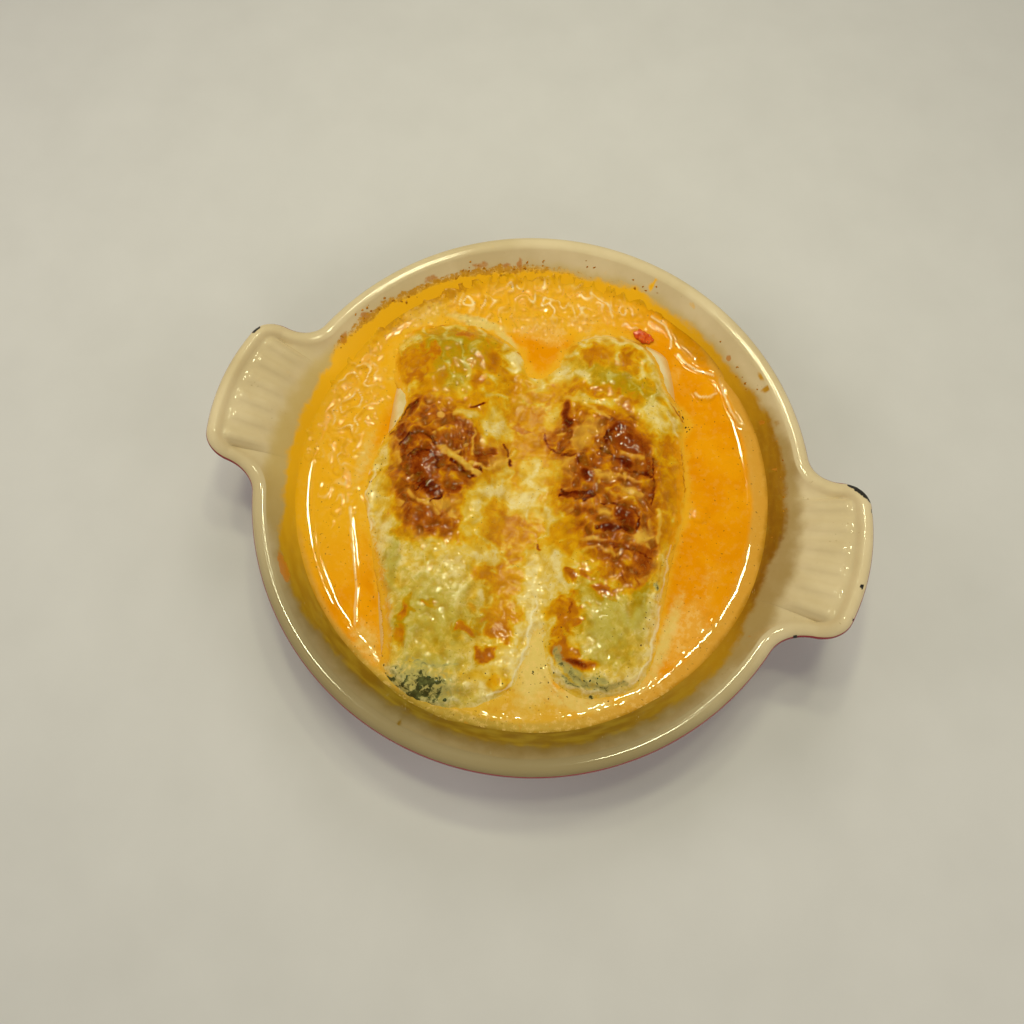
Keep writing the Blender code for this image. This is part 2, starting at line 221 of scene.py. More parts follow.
class Paint:
    # one Principled material; keywords set what is the same all over the surface
    def __init__(self, name, **even):
        self.material = bpy.data.materials.new(name)
        self.material.use_nodes = True
        self.tree = self.material.node_tree
        self.shader = self.tree.nodes["Principled BSDF"]
        for key, value in even.items():
            label = "".join(" " + c if c.isupper() else c for c in key).title()
            self.shader.inputs[label.replace("Ior", "IOR")].default_value = value

    def node(self, kind, settings=None, values=None, out=0):
        made = self.tree.nodes.new("ShaderNode" + kind)
        for key, value in (settings or {}).items():
            if key == "stops":
                self.setStops(made.color_ramp, value)
            else:
                setattr(made, key, value)
        for key, value in (values or {}).items():
            self.feed(made.inputs[key], value)
        return Wire(self, made.outputs[out])

    def setStops(self, ramp, stops):
        while len(ramp.elements) < len(stops):
            ramp.elements.new(0.5)
        for element, (place, colour) in zip(ramp.elements, stops):
            element.position = place
            element.color = (*colour, 1.0)

    def feed(self, socket, value):
        if isinstance(value, Wire):
            self.tree.links.new(value.socket, socket)
        else:
            socket.default_value = value

    def maths(self, operation, first, second):
        return self.node("Math", {"operation": operation}, {0: first, 1: second})

    def mask(self, name):
        return self.node("Attribute", {"attribute_name": name}, out=2)

    def place(self):
        return self.node("TexCoord", out=3)

    def noise(self, size, detail=3.0, roughness=0.55, distortion=0.0):
        values = {"Vector": self.place(), "Scale": 1 / (size * mm), "Detail": detail,
                  "Roughness": roughness, "Distortion": distortion}
        return self.node("TexNoise", {}, values)

    def between(self, value, low, high):
        values = {"Value": value, "From Min": low, "From Max": high}
        return self.node("MapRange", {"interpolation_type": "SMOOTHSTEP"}, values)

    def blend(self, first, second, share):
        first = first if isinstance(first, Wire) else (*first, 1.0)
        second = second if isinstance(second, Wire) else (*second, 1.0)
        return self.node("Mix", {"data_type": "RGBA"}, {0: share, 6: first, 7: second}, 2)

    def frayed(self, name, noise, amount, low, high):
        # a mask with its edge broken up by a noise
        return self.between(self.mask(name) + (noise - 0.5) * amount, low, high)

    def layers(self, colour, coats):
        # coats: (mask, noise on its edge, how much, where it starts and is full, tint, strength)
        for name, noise, amount, low, high, tint, strength in coats:
            share = self.frayed(name, noise, amount, low, high)
            colour = self.blend(colour, tint, share * strength)
        return colour

    def ramp(self, share, stops):
        return self.node("ValToRGB", {"stops": stops}, {0: share})

    def bump(self, height, distance, strength=1.0):
        values = {"Height": height, "Distance": distance * mm, "Strength": strength}
        return self.node("Bump", {}, values)

    def finish(self, colour, roughness, normal):
        self.feed(self.shader.inputs["Base Color"], colour)
        self.feed(self.shader.inputs["Roughness"], roughness)
        self.feed(self.shader.inputs["Normal"], normal)
        return self.material


def buildMesh(name, points, quads, material, masks=None, corners=None):
    # points in millimetres; rows of four, then rows of three, vertex numbers
    mesh = bpy.data.meshes.new(name)
    points = np.ascontiguousarray(points, np.float32) * mm
    quads = np.array(quads, np.int32).reshape(-1, 4)
    corners = np.array([] if corners is None else corners, np.int32).reshape(-1, 3)
    loops = np.concatenate([quads.ravel(), corners.ravel()])
    starts = np.concatenate([np.arange(len(quads)) * 4, quads.size + np.arange(len(corners)) * 3])
    mesh.vertices.add(len(points))
    mesh.vertices.foreach_set("co", points.ravel())
    mesh.loops.add(len(loops))
    mesh.loops.foreach_set("vertex_index", loops.astype(np.int32))
    mesh.polygons.add(len(starts))
    mesh.polygons.foreach_set("loop_start", starts.astype(np.int32))
    mesh.update(calc_edges=True)
    for key, values in (masks or {}).items():
        layer = mesh.attributes.new(key, "FLOAT", "POINT")
        layer.data.foreach_set("value", np.ascontiguousarray(values, np.float32).ravel())
    mesh.shade_smooth()
    mesh.materials.append(material)
    piece = bpy.data.objects.new(name, mesh)
    bpy.context.scene.collection.objects.link(piece)
    return piece


def buildRings(name, rings, material, masks=None):
    # closed skin through rings of equal length, with the first and last ring drawn to a point
    count, around = rings.shape[:2]
    points = np.concatenate([rings.reshape(-1, 3), rings[:1].mean(1), rings[-1:].mean(1)])
    row, column = np.meshgrid(np.arange(count - 1), np.arange(around), indexing="ij")
    following = (column + 1) % around
    a, b = row * around + column, row * around + following
    quads = np.stack([a, b, b + around, a + around], -1).reshape(-1, 4)
    hubs = []
    for ring, hub, flip in ((0, count * around, True), (count - 1, count * around + 1, False)):
        first = ring * around + np.arange(0, around, 2)
        second = ring * around + np.arange(1, around + 1, 2) % around
        third = ring * around + np.arange(2, around + 2, 2) % around
        fan = np.stack([first, second, third, np.full_like(first, hub)], -1)
        hubs.append(fan[:, ::-1] if flip else fan)
    full = {}
    for key, values in (masks or {}).items():
        ends = [values[0].mean(), values[-1].mean()]
        full[key] = np.concatenate([values.ravel(), ends])
    return buildMesh(name, points, np.concatenate([quads, *hubs]), material, full)


def buildSheet(name, x, y, top, keep, low, material, masks=None):
    # closed lump under the kept cells of a grid: its height field, a skirt down to low and a base
    rows, columns = x.shape
    cell = keep[:-1, :-1] & keep[1:, :-1] & keep[:-1, 1:] & keep[1:, 1:]
    r, c = np.nonzero(cell)
    a = r * columns + c
    upper = np.stack([a, a + 1, a + columns + 1, a + columns], -1)
    size = rows * columns
    edges = np.concatenate([upper[:, [i, (i + 1) % 4]] for i in range(4)])
    key = edges.min(1).astype(np.int64) * size + edges.max(1)
    _, first, count = np.unique(key, return_index=True, return_counts=True)
    rim = edges[first[count == 1]]
    sides = np.stack([rim[:, 1], rim[:, 0], rim[:, 0] + size, rim[:, 1] + size], -1)
    middle = np.c_[rim + size, np.full(len(rim), 2 * size)]
    quads = np.concatenate([upper, sides])
    used, index = np.unique(np.concatenate([quads.ravel(), middle.ravel()]), return_inverse=True)
    flat = np.stack([x.ravel(), y.ravel()], -1)
    low = np.broadcast_to(low, x.shape).ravel()
    hub = [[x[keep].mean(), y[keep].mean(), low.min()]]
    points = np.concatenate([np.c_[flat, top.ravel()], np.c_[flat, low], hub])[used]
    full = {k: np.concatenate([v.ravel(), v.ravel(), [0.0]])[used] for k, v in (masks or {}).items()}
    quads, middle = index[:quads.size].reshape(-1, 4), index[quads.size:].reshape(-1, 3)
    return buildMesh(name, points, quads, material, full, middle[:, [1, 0, 2]])


def place(piece, slot, *nodes):
    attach(piece, "root")
    if nodes:
        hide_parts(*nodes)
    return piece


print("helpers ready")

# Camera, light and table

view = {"lookAt": (-9.1, 6.8, 40.0), "azimuth": 19.85, "elevation": 70.82, "roll": -2.71,
        "distance": 273.8, "lens": 26.7, "shiftY": -0.0605}


def makeCamera():
    around, up = math.radians(view["azimuth"]), math.radians(view["elevation"])
    roll = math.radians(view["roll"])
    back = Vector((math.sin(around) * math.cos(up), -math.cos(around) * math.cos(up), math.sin(up)))
    side = Vector((math.cos(around), math.sin(around), 0.0))
    over = back.cross(side)
    right = side * math.cos(roll) + over * math.sin(roll)
    top = over * math.cos(roll) - side * math.sin(roll)
    data = bpy.data.cameras.new("camera")
    data.lens = view["lens"]
    data.shift_y = view["shiftY"]
    data.clip_start = 0.01
    camera = bpy.data.objects.new("camera", data)
    turn = Matrix((right, top, back)).transposed()
    spot = (Vector(view["lookAt"]) + back * view["distance"]) * mm
    camera.matrix_world = Matrix.Translation(spot) @ turn.to_4x4()
    bpy.context.scene.collection.objects.link(camera)
    bpy.context.scene.camera = camera


lamps = {
    # where it hangs, its size and power, and whether the food mirrors it; all aimed at the food
    "front": {"at": (120, -620, 520), "size": 400, "watts": 0.95, "mirrored": False},
    "left": {"at": (-560, -60, 420), "size": 360, "watts": 1.15, "mirrored": False},
    "right": {"at": (560, -40, 440), "size": 360, "watts": 0.95, "mirrored": False},
    "back": {"at": (-60, 560, 620), "size": 300, "watts": 1.15, "mirrored": False},
    "top": {"at": (-40, 150, 640), "size": 240, "watts": 0.5, "mirrored": False},
    "spotOne": {"at": (36, 214, 600), "size": 46, "watts": 0.32, "mirrored": True},
    "spotTwo": {"at": (-110, 84, 600), "size": 46, "watts": 0.32, "mirrored": True},
    "spotThree": {"at": (36, 68, 600), "size": 46, "watts": 0.32, "mirrored": True},
    "spotFour": {"at": (-104, 202, 600), "size": 46, "watts": 0.32, "mirrored": True},
}
softTint, glintTint = (1.0, 0.95, 0.88), (0.95, 0.96, 0.60)


def makeLights():
    for name, lamp in lamps.items():
        data = bpy.data.lights.new(name, "AREA")
        data.shape = "DISK"
        data.size = lamp["size"] * mm
        data.energy = lamp["watts"]
        data.color = glintTint if lamp["mirrored"] else softTint
        light = bpy.data.objects.new(name, data)
        light.location = Vector(lamp["at"]) * mm
        light.rotation_euler = light.location.to_track_quat("Z", "Y").to_euler()
        light.visible_glossy = lamp["mirrored"]
        bpy.context.scene.collection.objects.link(light)
    world = bpy.data.worlds.new("room")
    world.use_nodes = True
    sky = world.node_tree.nodes["Background"]
    sky.inputs["Color"].default_value = (1.0, 0.97, 0.93, 1.0)
    sky.inputs["Strength"].default_value = 0.12
    world.cycles_visibility.glossy = False
    bpy.context.scene.world = world
    bpy.context.scene.view_settings.view_transform = "Standard"


def makeTable():
    paint = Paint("tableTop", specularIorLevel=0.3)
    grain = paint.noise(30.0, 4.0)
    colour = paint.blend((0.60, 0.585, 0.56), (0.66, 0.645, 0.62), grain)
    paint.finish(colour, paint.between(grain, 0.2, 0.8) * 0.1 + 0.5, paint.bump(grain, 0.02))
    reach = 1600
    corners = np.array([(-reach, -reach, 0), (reach, -reach, 0), (reach, reach, 0), (-reach, reach, 0)])
    table = buildMesh("tableTop", corners, [(0, 1, 2, 3)], paint.material)
    table.location.z = -0.02 * mm


makeCamera()
makeLights()
makeTable()
print("camera, light and table ready")

# The dish: one enamelled iron casting with two ribbed handles

dish = {
    "rim": 100.0, "rimHeight": 40.0, "floor": 58.0, "floorHeight": 4.5, "cornerRise": 9.5,
    "shoulder": 86.0, "shoulderHeight": 29.5, "wallSlope": 1.235, "base": 69.0,
    "bodyThickness": 7.0, "handleThickness": 5.0,
    "lipWidth": 5.6, "lipDepth": 0.9, "grooveDepth": 2.4,
    "reach": 116.7, "halfWidth": 27.6, "corner": 9.6, "fillet": 12.0, "rise": 0.643,
    "ribPitch": 4.0, "ribs": 6, "ribHeight": 0.5, "ribStart": 93.5, "ribEnd": 109.5,
}


def wallHeight(radius):
    corner = dish["floorHeight"] + dish["cornerRise"]
    cornerRadius = dish["shoulder"] - (dish["shoulderHeight"] - corner) / dish["wallSlope"]
    t = np.clip((radius - dish["floor"]) / (cornerRadius - dish["floor"]), 0.0, 1.0)
    endSlope = dish["wallSlope"] * (cornerRadius - dish["floor"])
    curve = dish["floorHeight"] + dish["cornerRise"] * (3 * t**2 - 2 * t**3)
    curve = curve + endSlope * (t**3 - t**2)
    straight = dish["shoulderHeight"] + dish["wallSlope"] * (radius - dish["shoulder"])
    return np.where(radius > cornerRadius, straight, curve)


def rimOutline():
    # outer edge of the rim and its outward normals, from +X round to +X again
    rim, fillet, corner = dish["rim"], dish["fillet"], dish["corner"]
    filletY = dish["halfWidth"] + fillet
    filletX = math.sqrt((rim + fillet) ** 2 - filletY**2)
    cornerY = dish["halfWidth"] - corner
    inner = dish["reach"] - corner
    tipX = (inner**2 - filletX**2 - cornerY**2) / (2 * (inner - filletX))
    tipRadius = dish["reach"] - tipX
    tipEnd = math.atan2(cornerY, filletX - tipX)
    bodyStart = math.atan2(filletY, filletX)
    arcs = [
        ((tipX, 0.0), tipRadius, 0.0, tipEnd, 52),
        ((filletX, cornerY), corner, tipEnd, math.pi / 2, 26),
        ((filletX, filletY), -fillet, math.pi / 2, bodyStart, 26),
        ((0.0, 0.0), rim, bodyStart, math.pi / 2, 110),
    ]
    edge, normal = [], []
    for centre, radius, start, end, count in arcs:
        angle = start + (end - start) * np.arange(count) / count
        direction = np.stack([np.cos(angle), np.sin(angle)], -1)
        edge.append(np.array(centre) + radius * direction)
        normal.append(direction)
    edge, normal = np.concatenate(edge), np.concatenate(normal)
    mirror = np.array([-1.0, 1.0])
    top = np.array([[0.0, rim]])
    up = np.array([[0.0, 1.0]])
    edge = np.concatenate([edge, top, edge[:0:-1] * mirror])
    normal = np.concatenate([normal, up, normal[:0:-1] * mirror])
    edge = np.concatenate([edge, -edge])
    normal = np.concatenate([normal, -normal])
    return edge, normal


chips = [
    # (angle, outward place, half length, half width) of bare iron on the rim of a handle
    (12.2, 113.4, 4.6, 1.5), (13.9, 110.6, 1.6, 1.2), (9.1, 115.8, 1, 0.7), (-4.1, 114.7, 0.95, 0.6),
    (169.3, 114.6, 2.2, 1.1), (-9.6, 115.2, 0.5, 0.4), (-161.5, 102.6, 0.5, 0.4),
    (173, 116.2, 0.5, 0.4), (-16, 103.5, 0.8, 0.5),
]


def makeDish():
    edge, normal = rimOutline()
    beyond = np.maximum(0.0, np.hypot(*edge.T) - dish["rim"])
    handle = softStep(0.0, 10.0, beyond)
    crest = dish["rimHeight"] + dish["rise"] * beyond
    inner = edge - dish["lipWidth"] * normal
    angle = np.arctan2(inner[:, 1], inner[:, 0])
    innerRadius = np.hypot(*inner.T)
    innerHeight = crest - mixed(dish["lipDepth"], dish["grooveDepth"], handle)
    thickness = mixed(dish["bodyThickness"], dish["handleThickness"], handle)
    offAxis = np.degrees(np.abs((angle + math.pi / 2) % math.pi - math.pi / 2))
    halfRibs = dish["ribs"] * dish["ribPitch"] / 2

    def polar(radius, height):
        radius = radius + 0 * angle
        return np.stack([radius * np.cos(angle), radius * np.sin(angle), height + 0 * angle], -1)

    def ribs(radius):
        across = np.cos(2 * math.pi * (offAxis - dish["ribPitch"] / 2) / dish["ribPitch"])
        across = np.sign(across) * np.abs(across) ** 0.8
        across = (1 + across) * (1 - softStep(halfRibs - 0.6, halfRibs, offAxis))
        ends = softStep(dish["ribStart"], dish["ribStart"] + 7.0, radius)
        ends = ends * (1 - softStep(dish["ribEnd"] - 1.6, dish["ribEnd"] + 0.6, radius))
        return dish["ribHeight"] * across * ends

    def eased(values):
        for _ in range(3):
            values = sum(np.roll(values, k) for k in range(-9, 10)) / 19
        return values

    easedRadius, easedHeight = eased(innerRadius), eased(innerHeight)

    def inside(t):
        run = mixed(easedRadius, innerRadius, t**2) - dish["shoulder"]
        rise = mixed(easedHeight, innerHeight, t**2) - dish["shoulderHeight"]
        start, end = dish["wallSlope"] * run, rise * (1 - 0.22 * handle)
        height = dish["shoulderHeight"] + rise * (3 * t**2 - 2 * t**3)
        height = height + start * (t**3 - 2 * t**2 + t) + end * (t**3 - t**2)
        return dish["shoulder"] + t * run, height

    rings, red, wall = [], [], []

    def add(points, outside, onWall=0.0):
        rings.append(points)
        red.append(np.full(len(points), outside))
        wall.append(np.full(len(points), onWall))

    for radius in (20.0, 40.0, 56.0, 60.0, 64.0, 67.0, 70.0, 73.0, 75.0):
        add(polar(radius, wallHeight(np.array(radius))), 0.0, 1.0)
    for radius in np.arange(76.0, 86.0, 0.6):
        add(polar(radius, wallHeight(radius)), 0.0, 1.0)
    for t in np.linspace(0, 1, 34):
        radius, height = inside(t)
        uneven = 0.06 * lumps(radius * np.cos(angle), radius * np.sin(angle), 9.0, 5)
        add(polar(radius, height + ribs(radius) + uneven), 0.0, 1.0)
    # the rolled lip: how far in from its edge, and how far below its crest
    lip = [(5.2, 0.62), (4.8, 0.40), (4.3, 0.20), (3.7, 0.06), (3.0, 0.0), (2.3, 0.06),
           (1.7, 0.24), (1.1, 0.55), (0.6, 0.95), (0.25, 1.45), (0.0, 2.0), (0.12, 2.6),
           (0.4, 3.2), (0.85, 3.8), (1.5, 4.5)]
    for inwards, below in lip:
        blend = softStep(3.7, 5.6, inwards)
        lowered = below + 1.2 * handle * blend
        spot = edge - inwards * normal
        add(np.c_[spot, crest - lowered], softStep(0.7, 1.3, below))
    for t in (0.9, 0.6, 0.3):
        radius, height = inside(t)
        add(polar(radius, height - thickness), 1.0)
    # down the outside and over the foot: radius and height
    outside = ((86.0, 22.4), (82.0, 17.2), (77.8, 11.5), (75.2, 7.2), (73.7, 4.2), (72.6, 2.2),
               (71.3, 0.9), (70.2, 0.25), (dish["base"], 0.0), (60.0, 0.0), (30.0, 0.0))
    for radius, height in outside:
        add(polar(radius, np.array(height)), 1.0)

    rings = np.stack(rings)
    red, wall = np.stack(red), np.stack(wall)
    x, y, z = rings[..., 0], rings[..., 1], rings[..., 2]
    chip = np.zeros_like(x)
    ragged = rough(x, y, 1.6, 31) * 0.45
    for turn, out, length, width in chips:
        centre = (out * math.cos(math.radians(turn)), out * math.sin(math.radians(turn)))
        slant = 38 if abs(turn) < 15 and out < 114 else 0  # the two at a corner lie aslant
        along, across = turned(x, y, centre, turn + 90 + slant)
        near = 1 - softStep(0.75, 1.1, np.hypot(along / length, across / width) + ragged)
        chip = np.maximum(chip, near * (z > 38))
    z -= 0.28 * chip
    masks = {"red": red, "wall": wall, "chip": chip, **stainMasks(x, y, z, wall)}
    piece = buildRings("dishEnamel", rings, dishPaint(), masks)
    return place(piece, "enamel", "dish")


def byAngle(angle, stops):
    # a value that changes round the dish, from pairs of an angle and the value there
    turn, value = zip(*stops)
    return np.interp(angle, turn, value, period=360)


def stainMasks(x, y, z, wall):
    # baked sauce on the wall: a dense film, a thin veil above it, and crumbs along its upper edge
    radius, angle = np.hypot(x, y), np.degrees(np.arctan2(y, x))
    wave = 0.6 * rough(x, y, 14.0, 41) + 0.7 * rough(x, y, 5.0, 42)
    runs = 0.8 * rough(np.abs(angle) * 1.5, radius, 4.0, 45)
    out = radius + wave + runs - byAngle(angle, filmEdge)
    film = (1 - softStep(-2.2, 1.4, out)) * wall
    film = np.maximum(film, patches(x, y, drips, 0.6, 46, 0.5, 2.0) * wall)
    veil = (1 - softStep(-3.0, 3.5, radius + 1.4 * wave - byAngle(angle, veilEdge))) * wall
    crumb = byAngle(angle, crumbBand) * (1 - softStep(0.7, 1.9, np.abs(out + 0.2))) * wall
    burnt = patches(x, y, scorches, 0.6, 43, 0.6, 2.4) * (z > 27) * wall
    smear = rough(np.abs(angle) * 1.5, radius * 6, 9.0, 44)
    # near: how far towards the near side; the paint below darkens the cream, veil and film there as
    # painted shade
    return {"film": film, "veil": veil, "crumb": crumb, "scorch": burnt, "smear": smear,
            "gold": byAngle(angle, goldFilm), "near": softStep(0.1, 0.9, -y / 95)}


# pairs of an angle round the dish and: the radius where the film ends, the radius where the
# veil ends, how many crumbs there are, and how golden the film is
filmEdge = [
    (-180, 90.3), (-154, 90.4), (-149, 92.3), (-132, 92.3), (-126, 91), (-115, 90.6), (-80, 90.8),
    (-50, 91.2), (-26, 91.2), (-18, 89.4), (-3, 89.6), (5, 92), (33, 91.8), (44, 89.4), (74, 89),
    (79, 90.2), (85, 88.8), (110, 89.2), (130, 90.4), (145, 91.2), (162, 92.2), (167, 90.2),
]
veilEdge = [
    (-180, 95.5), (-158, 97), (-148, 93), (-100, 92.5), (-30, 93.5), (-22, 95.5), (0, 96), (20, 95.5),
    (32, 93), (42, 90), (130, 90), (160, 92), (170, 94.5),
]
crumbBand = [
    (-170, 0.1), (-130, 0.3), (-60, 0.1), (0, 0.3), (35, 0.4), (60, 0.4), (84, 0.6), (100, 0.8),
    (112, 1), (150, 1), (160, 0.8), (170, 0.2),
]
goldFilm = [
    (-180, 0.8), (-150, 0.8), (-110, 0.5), (-60, 0.3), (-30, 0.4), (-10, 0), (0, 0), (30, 0.2),
    (50, 0.6), (75, 1), (165, 1),
]
drips = [
    # (x, y, half length, half width, turn, strength) of thin splashes above the film
    (-16.5, -93.6, 2.6, 0.9, -100, 0.8), (74, 58, 2.2, 1, 45, 0.9), (71, 62, 1.8, 0.7, -40, 0.8),
    (-8, -95, 1.2, 0.8, 0, 0.6), (23, 89.5, 2, 0.9, 70, 0.9), (80, 46, 1.5, 0.7, 30, 0.6),
    (40, 84.5, 1.5, 0.6, -30, 0.6), (87, 26, 2, 1, 70, 0.6),
]
scorches = [
    # the same for small scorched places
    (-72.5, -56.8, 1.2, 5.5, 38, 0.9), (-85.5, 33, 1.2, 2.6, 0, 0.8), (-80.5, 44, 1.4, 2.4, -30, 0.8),
    (-30, 85, 1.2, 2, 20, 0.8), (-35, 83, 2.2, 1, 25, 0.7), (-45, 79.5, 4, 1, 28, 0.6),
    (-62, 67.5, 3.4, 1, 45, 0.6), (58.5, 68.5, 1.3, 0.7, -50, 0.9), (76, 46.5, 1, 0.8, 0, 0.9),
    (84, 30, 0.9, 0.6, 0, 0.7), (88, 5, 0.7, 0.5, 30, 0.7), (86, -32, 1.1, 0.6, 0, 0.6),
]


def dishPaint():
    paint = Paint("creamEnamel")
    cloudy = paint.noise(26.0, 4.0)
    speck = paint.between(paint.noise(1.3, 2.0), 0.66, 0.78)
    rareSpeck = speck * paint.between(paint.noise(11.0, 2.0), 0.52, 0.66)
    cream = paint.blend((0.60, 0.475, 0.265), (0.70, 0.57, 0.345), paint.between(cloudy, 0.3, 0.7))
    # painted shade: the cream turns much darker towards the near side
    cream = paint.blend(cream, (0.24, 0.185, 0.085), paint.mask("near") * 0.85)
    cream = paint.blend(cream, (0.26, 0.14, 0.04), rareSpeck * 0.55)
    fine = paint.noise(2.4, 4.0, 0.7)
    streak = paint.noise(7.0, 4.0, 0.6)
    veil = paint.frayed("veil", streak, 0.7, 0.1, 1.1)
    # the veil's thin brown stain, golden where the film is golden; on the near side it is painted
    # darker as shade
    shade = paint.blend((0.33, 0.21, 0.06), (0.58, 0.42, 0.14), paint.mask("gold"))
    shade = paint.blend(shade, (0.18, 0.115, 0.028), paint.mask("near"))
    colour = paint.blend(cream, shade, veil * 0.85)
    smear = paint.mask("smear")
    film = paint.between(paint.mask("film") + (fine - 0.5) * 0.8 + smear * 0.25, 0.1, 0.9)
    brown = paint.blend((0.28, 0.120, 0.001), (0.20, 0.072, 0.001), paint.between(smear, -0.5, 0.5))
    ochre = paint.blend(brown, (0.36, 0.24, 0.02), paint.between(fine, 0.5, 0.75) * 0.4)
    ochre = paint.blend(ochre, (0.94, 0.49, 0.003), paint.mask("gold"))
    # on the near side the film is a darker olive: partly its own colour, partly painted shade
    olive = paint.blend((0.16, 0.085, 0.004), (0.27, 0.18, 0.012), paint.between(smear, -0.4, 0.5))
    ochre = paint.blend(ochre, olive, paint.mask("near") * 0.9)
    colour = paint.blend(colour, ochre, film * 0.95)
    scorch = paint.frayed("scorch", fine, 0.9, 0.35, 0.7)
    colour = paint.blend(colour, (0.50, 0.17, 0.004), scorch * 0.75)
    crumb = paint.frayed("crumb", paint.noise(1.6, 4.0, 0.75), 2.0, 0.75, 1.05)
    baked = paint.blend((0.72, 0.36, 0.004), (0.40, 0.15, 0.001), fine)
    colour = paint.blend(colour, baked, crumb * 0.9)
    edge = paint.frayed("red", paint.noise(5.0, 3.0), 0.4, 0.35, 0.6)
    cerise = paint.blend((0.33, 0.022, 0.035), (0.24, 0.014, 0.025), cloudy)
    colour = paint.blend(colour, cerise, edge)
    chip = paint.frayed("chip", paint.noise(0.9, 3.0), 0.5, 0.4, 0.6)
    colour = paint.blend(colour, (0.022, 0.02, 0.018), chip)
    roughness = paint.between(cloudy, 0.2, 0.8) * 0.03 + 0.05
    roughness = roughness + film * 0.10 + chip * 0.5 + (scorch + crumb) * 0.2
    relief = paint.noise(6.0, 2.0) * 0.2 + film * fine * 0.4 + scorch * 0.6 + crumb * 0.8
    return paint.finish(colour, roughness, paint.bump(relief, 0.10, 0.6))


# The sauce

sauce = {
    "level": 27.7, "reach": 87.8, "climb": 2.8, "wormSize": 5.4, "wormHeight": 1.1,
    # small bubbles: how many, the turn and radius where they lie, their size and height
    "smallBubbles": 210, "bubbleTurn": (80, 190), "bubbleOut": (64, 87),
    "bubbleSize": (0.5, 1.6), "bubbleHeight": (0.3, 0.7),
}
# pairs of an angle round the dish and the radius where the sauce starts to climb to the wall
shoreLine = [
    (-180, 79), (-150, 79), (-122, 80), (-90, 80), (-50, 79), (-20, 78), (0, 78.5), (25, 78), (38, 80),
    (46, 82), (55, 76), (64, 81), (90, 82), (120, 81), (160, 80),
]
# and how far the tan zone before it is shifted
tanShift = [
    (-160, -9), (-150, -4), (-90, -3), (-20, 0), (25, 0), (50, -3), (80, -12),
]


def makeSauce():
    around = 860
    radii = np.concatenate([np.arange(4, 40, 4.0), np.arange(40, 70, 0.8), np.arange(70, 87.6, 0.45),
                            [sauce["reach"]]])
    angle = np.linspace(0, 2 * math.pi, around, endpoint=False)
    radius, angle = np.meshgrid(radii, angle, indexing="ij")
    x, y = radius * np.cos(angle), radius * np.sin(angle)
    z, masks = sauceSurface(x, y)
    rings = [np.stack([x, y, z], -1)]
    for out in (85.0, 80.0, 74.0, 68.0, 60.0, 30.0):
        low = np.full(angle[:1].shape, np.minimum(wallHeight(out) - 0.2, 26.0))
        rings.append(np.stack([out * np.cos(angle[:1]), out * np.sin(angle[:1]), low], -1))
    skirt = sum(len(r) for r in rings[1:])
    masks = {key: np.concatenate([m, np.repeat(m[-1:], skirt, 0)]) for key, m in masks.items()}
    piece = buildRings("sauceBody", np.concatenate(rings), saucePaint(), masks)
    return place(piece, "sauce", "sauce")


# patches in the sauce: (x, y, half length, half width, turn, strength)
froth = [
    (-75, 12, 24, 7, 97, 1), (-40, 70, 20, 10, 35, 1), (-14, 77, 18, 9, 10, 1), (8, 80, 18, 6, -8, 0.9),
    (-66, -22, 12, 7, 100, 0.5),
]
paleSauce = [
    (66, -36, 14, 7, 60, 0.9), (72, -14, 8, 4, 80, 0.4), (52, -66, 14, 7, 30, 0.7),
    (-12, 62, 9, 5, 0, 0.9), (24, -74, 5, 4, 10, 0.9), (2, -84, 22, 5, 0, 0.3),
    (38, -70, 9, 4, 10, 0.7), (2, 70, 10, 4, 0, 0.5), (40, 58, 4, 5, 0, 0.5), (-78, 5, 5, 14, 0, 0.3),
    (61, -58, 8, 6, 30, 0.7),
]
yellowSauce = [
    (8, -78, 42, 9, 4, 0.9), (22, -60, 8, 15, 0, 1), (-60, 56, 9, 5, 40, 0.7),
    (46, -72, 20, 7, 28, 0.6), (-36, -74, 12, 6, -40, 0.3), (-56, -40, 5, 20, 25, 0.2),
]
creamSauce = [
    (-40, 58.5, 12, 2.2, 0, 0.9), (-27, 55, 6, 1.8, -30, 0.8), (21, -60, 6, 16, 0, 0.9),
    (36, -69, 17, 3.4, 4, 0.7), (61, -40, 2.6, 17, -6, 0.7), (-38, -72, 5, 8, 30, 0.5),
    (2, -86, 20, 2.4, 2, 0.6), (-63, -8, 3, 12, 4, 0.5), (56, -60, 6, 4, 40, 0.6),
]
brownSauce = [
    (44, 73, 13, 5, -30, 0.8), (-45, -77, 16, 5, -30, 0.6), (0, -86, 34, 4, 0, 0.6),
]
bakedSauce = [
    (-56, 68, 26, 4, 42, 0.9), (-26, 84, 14, 3, 10, 0.6), (-73, 48, 8, 5, 60, 0.7),
    (-30, -77, 9, 3, -30, 0.4),
]
bubbles = [
    # (x, y, radius, height) of the larger bubbles
    (53.5, 55, 4.2, 0.8), (62.5, 7, 3.4, 0.7), (19.5, 81, 4.4, 0.8), (8.5, 81.5, 2.6, 0.6),
    (-75, 35, 1.9, 0.8), (-70.5, -16, 2.2, 0.7), (-65.5, -31, 2, 0.7), (-31.5, 80, 1.9, 0.8),
    (-40, 71, 2.6, 0.7), (-24, 70, 1.9, 0.7), (-15, 83.5, 1.6, 0.6), (-11, 69, 2.2, 0.7),
    (10.5, -71.5, 3, 0.9), (-57, 59, 1.8, 0.6), (-50.5, 60.5, 1.6, 0.7), (-74, 2, 1.9, 0.6),
    (3, 74, 2.4, 0.6), (-20, 77, 2, 0.6),
]


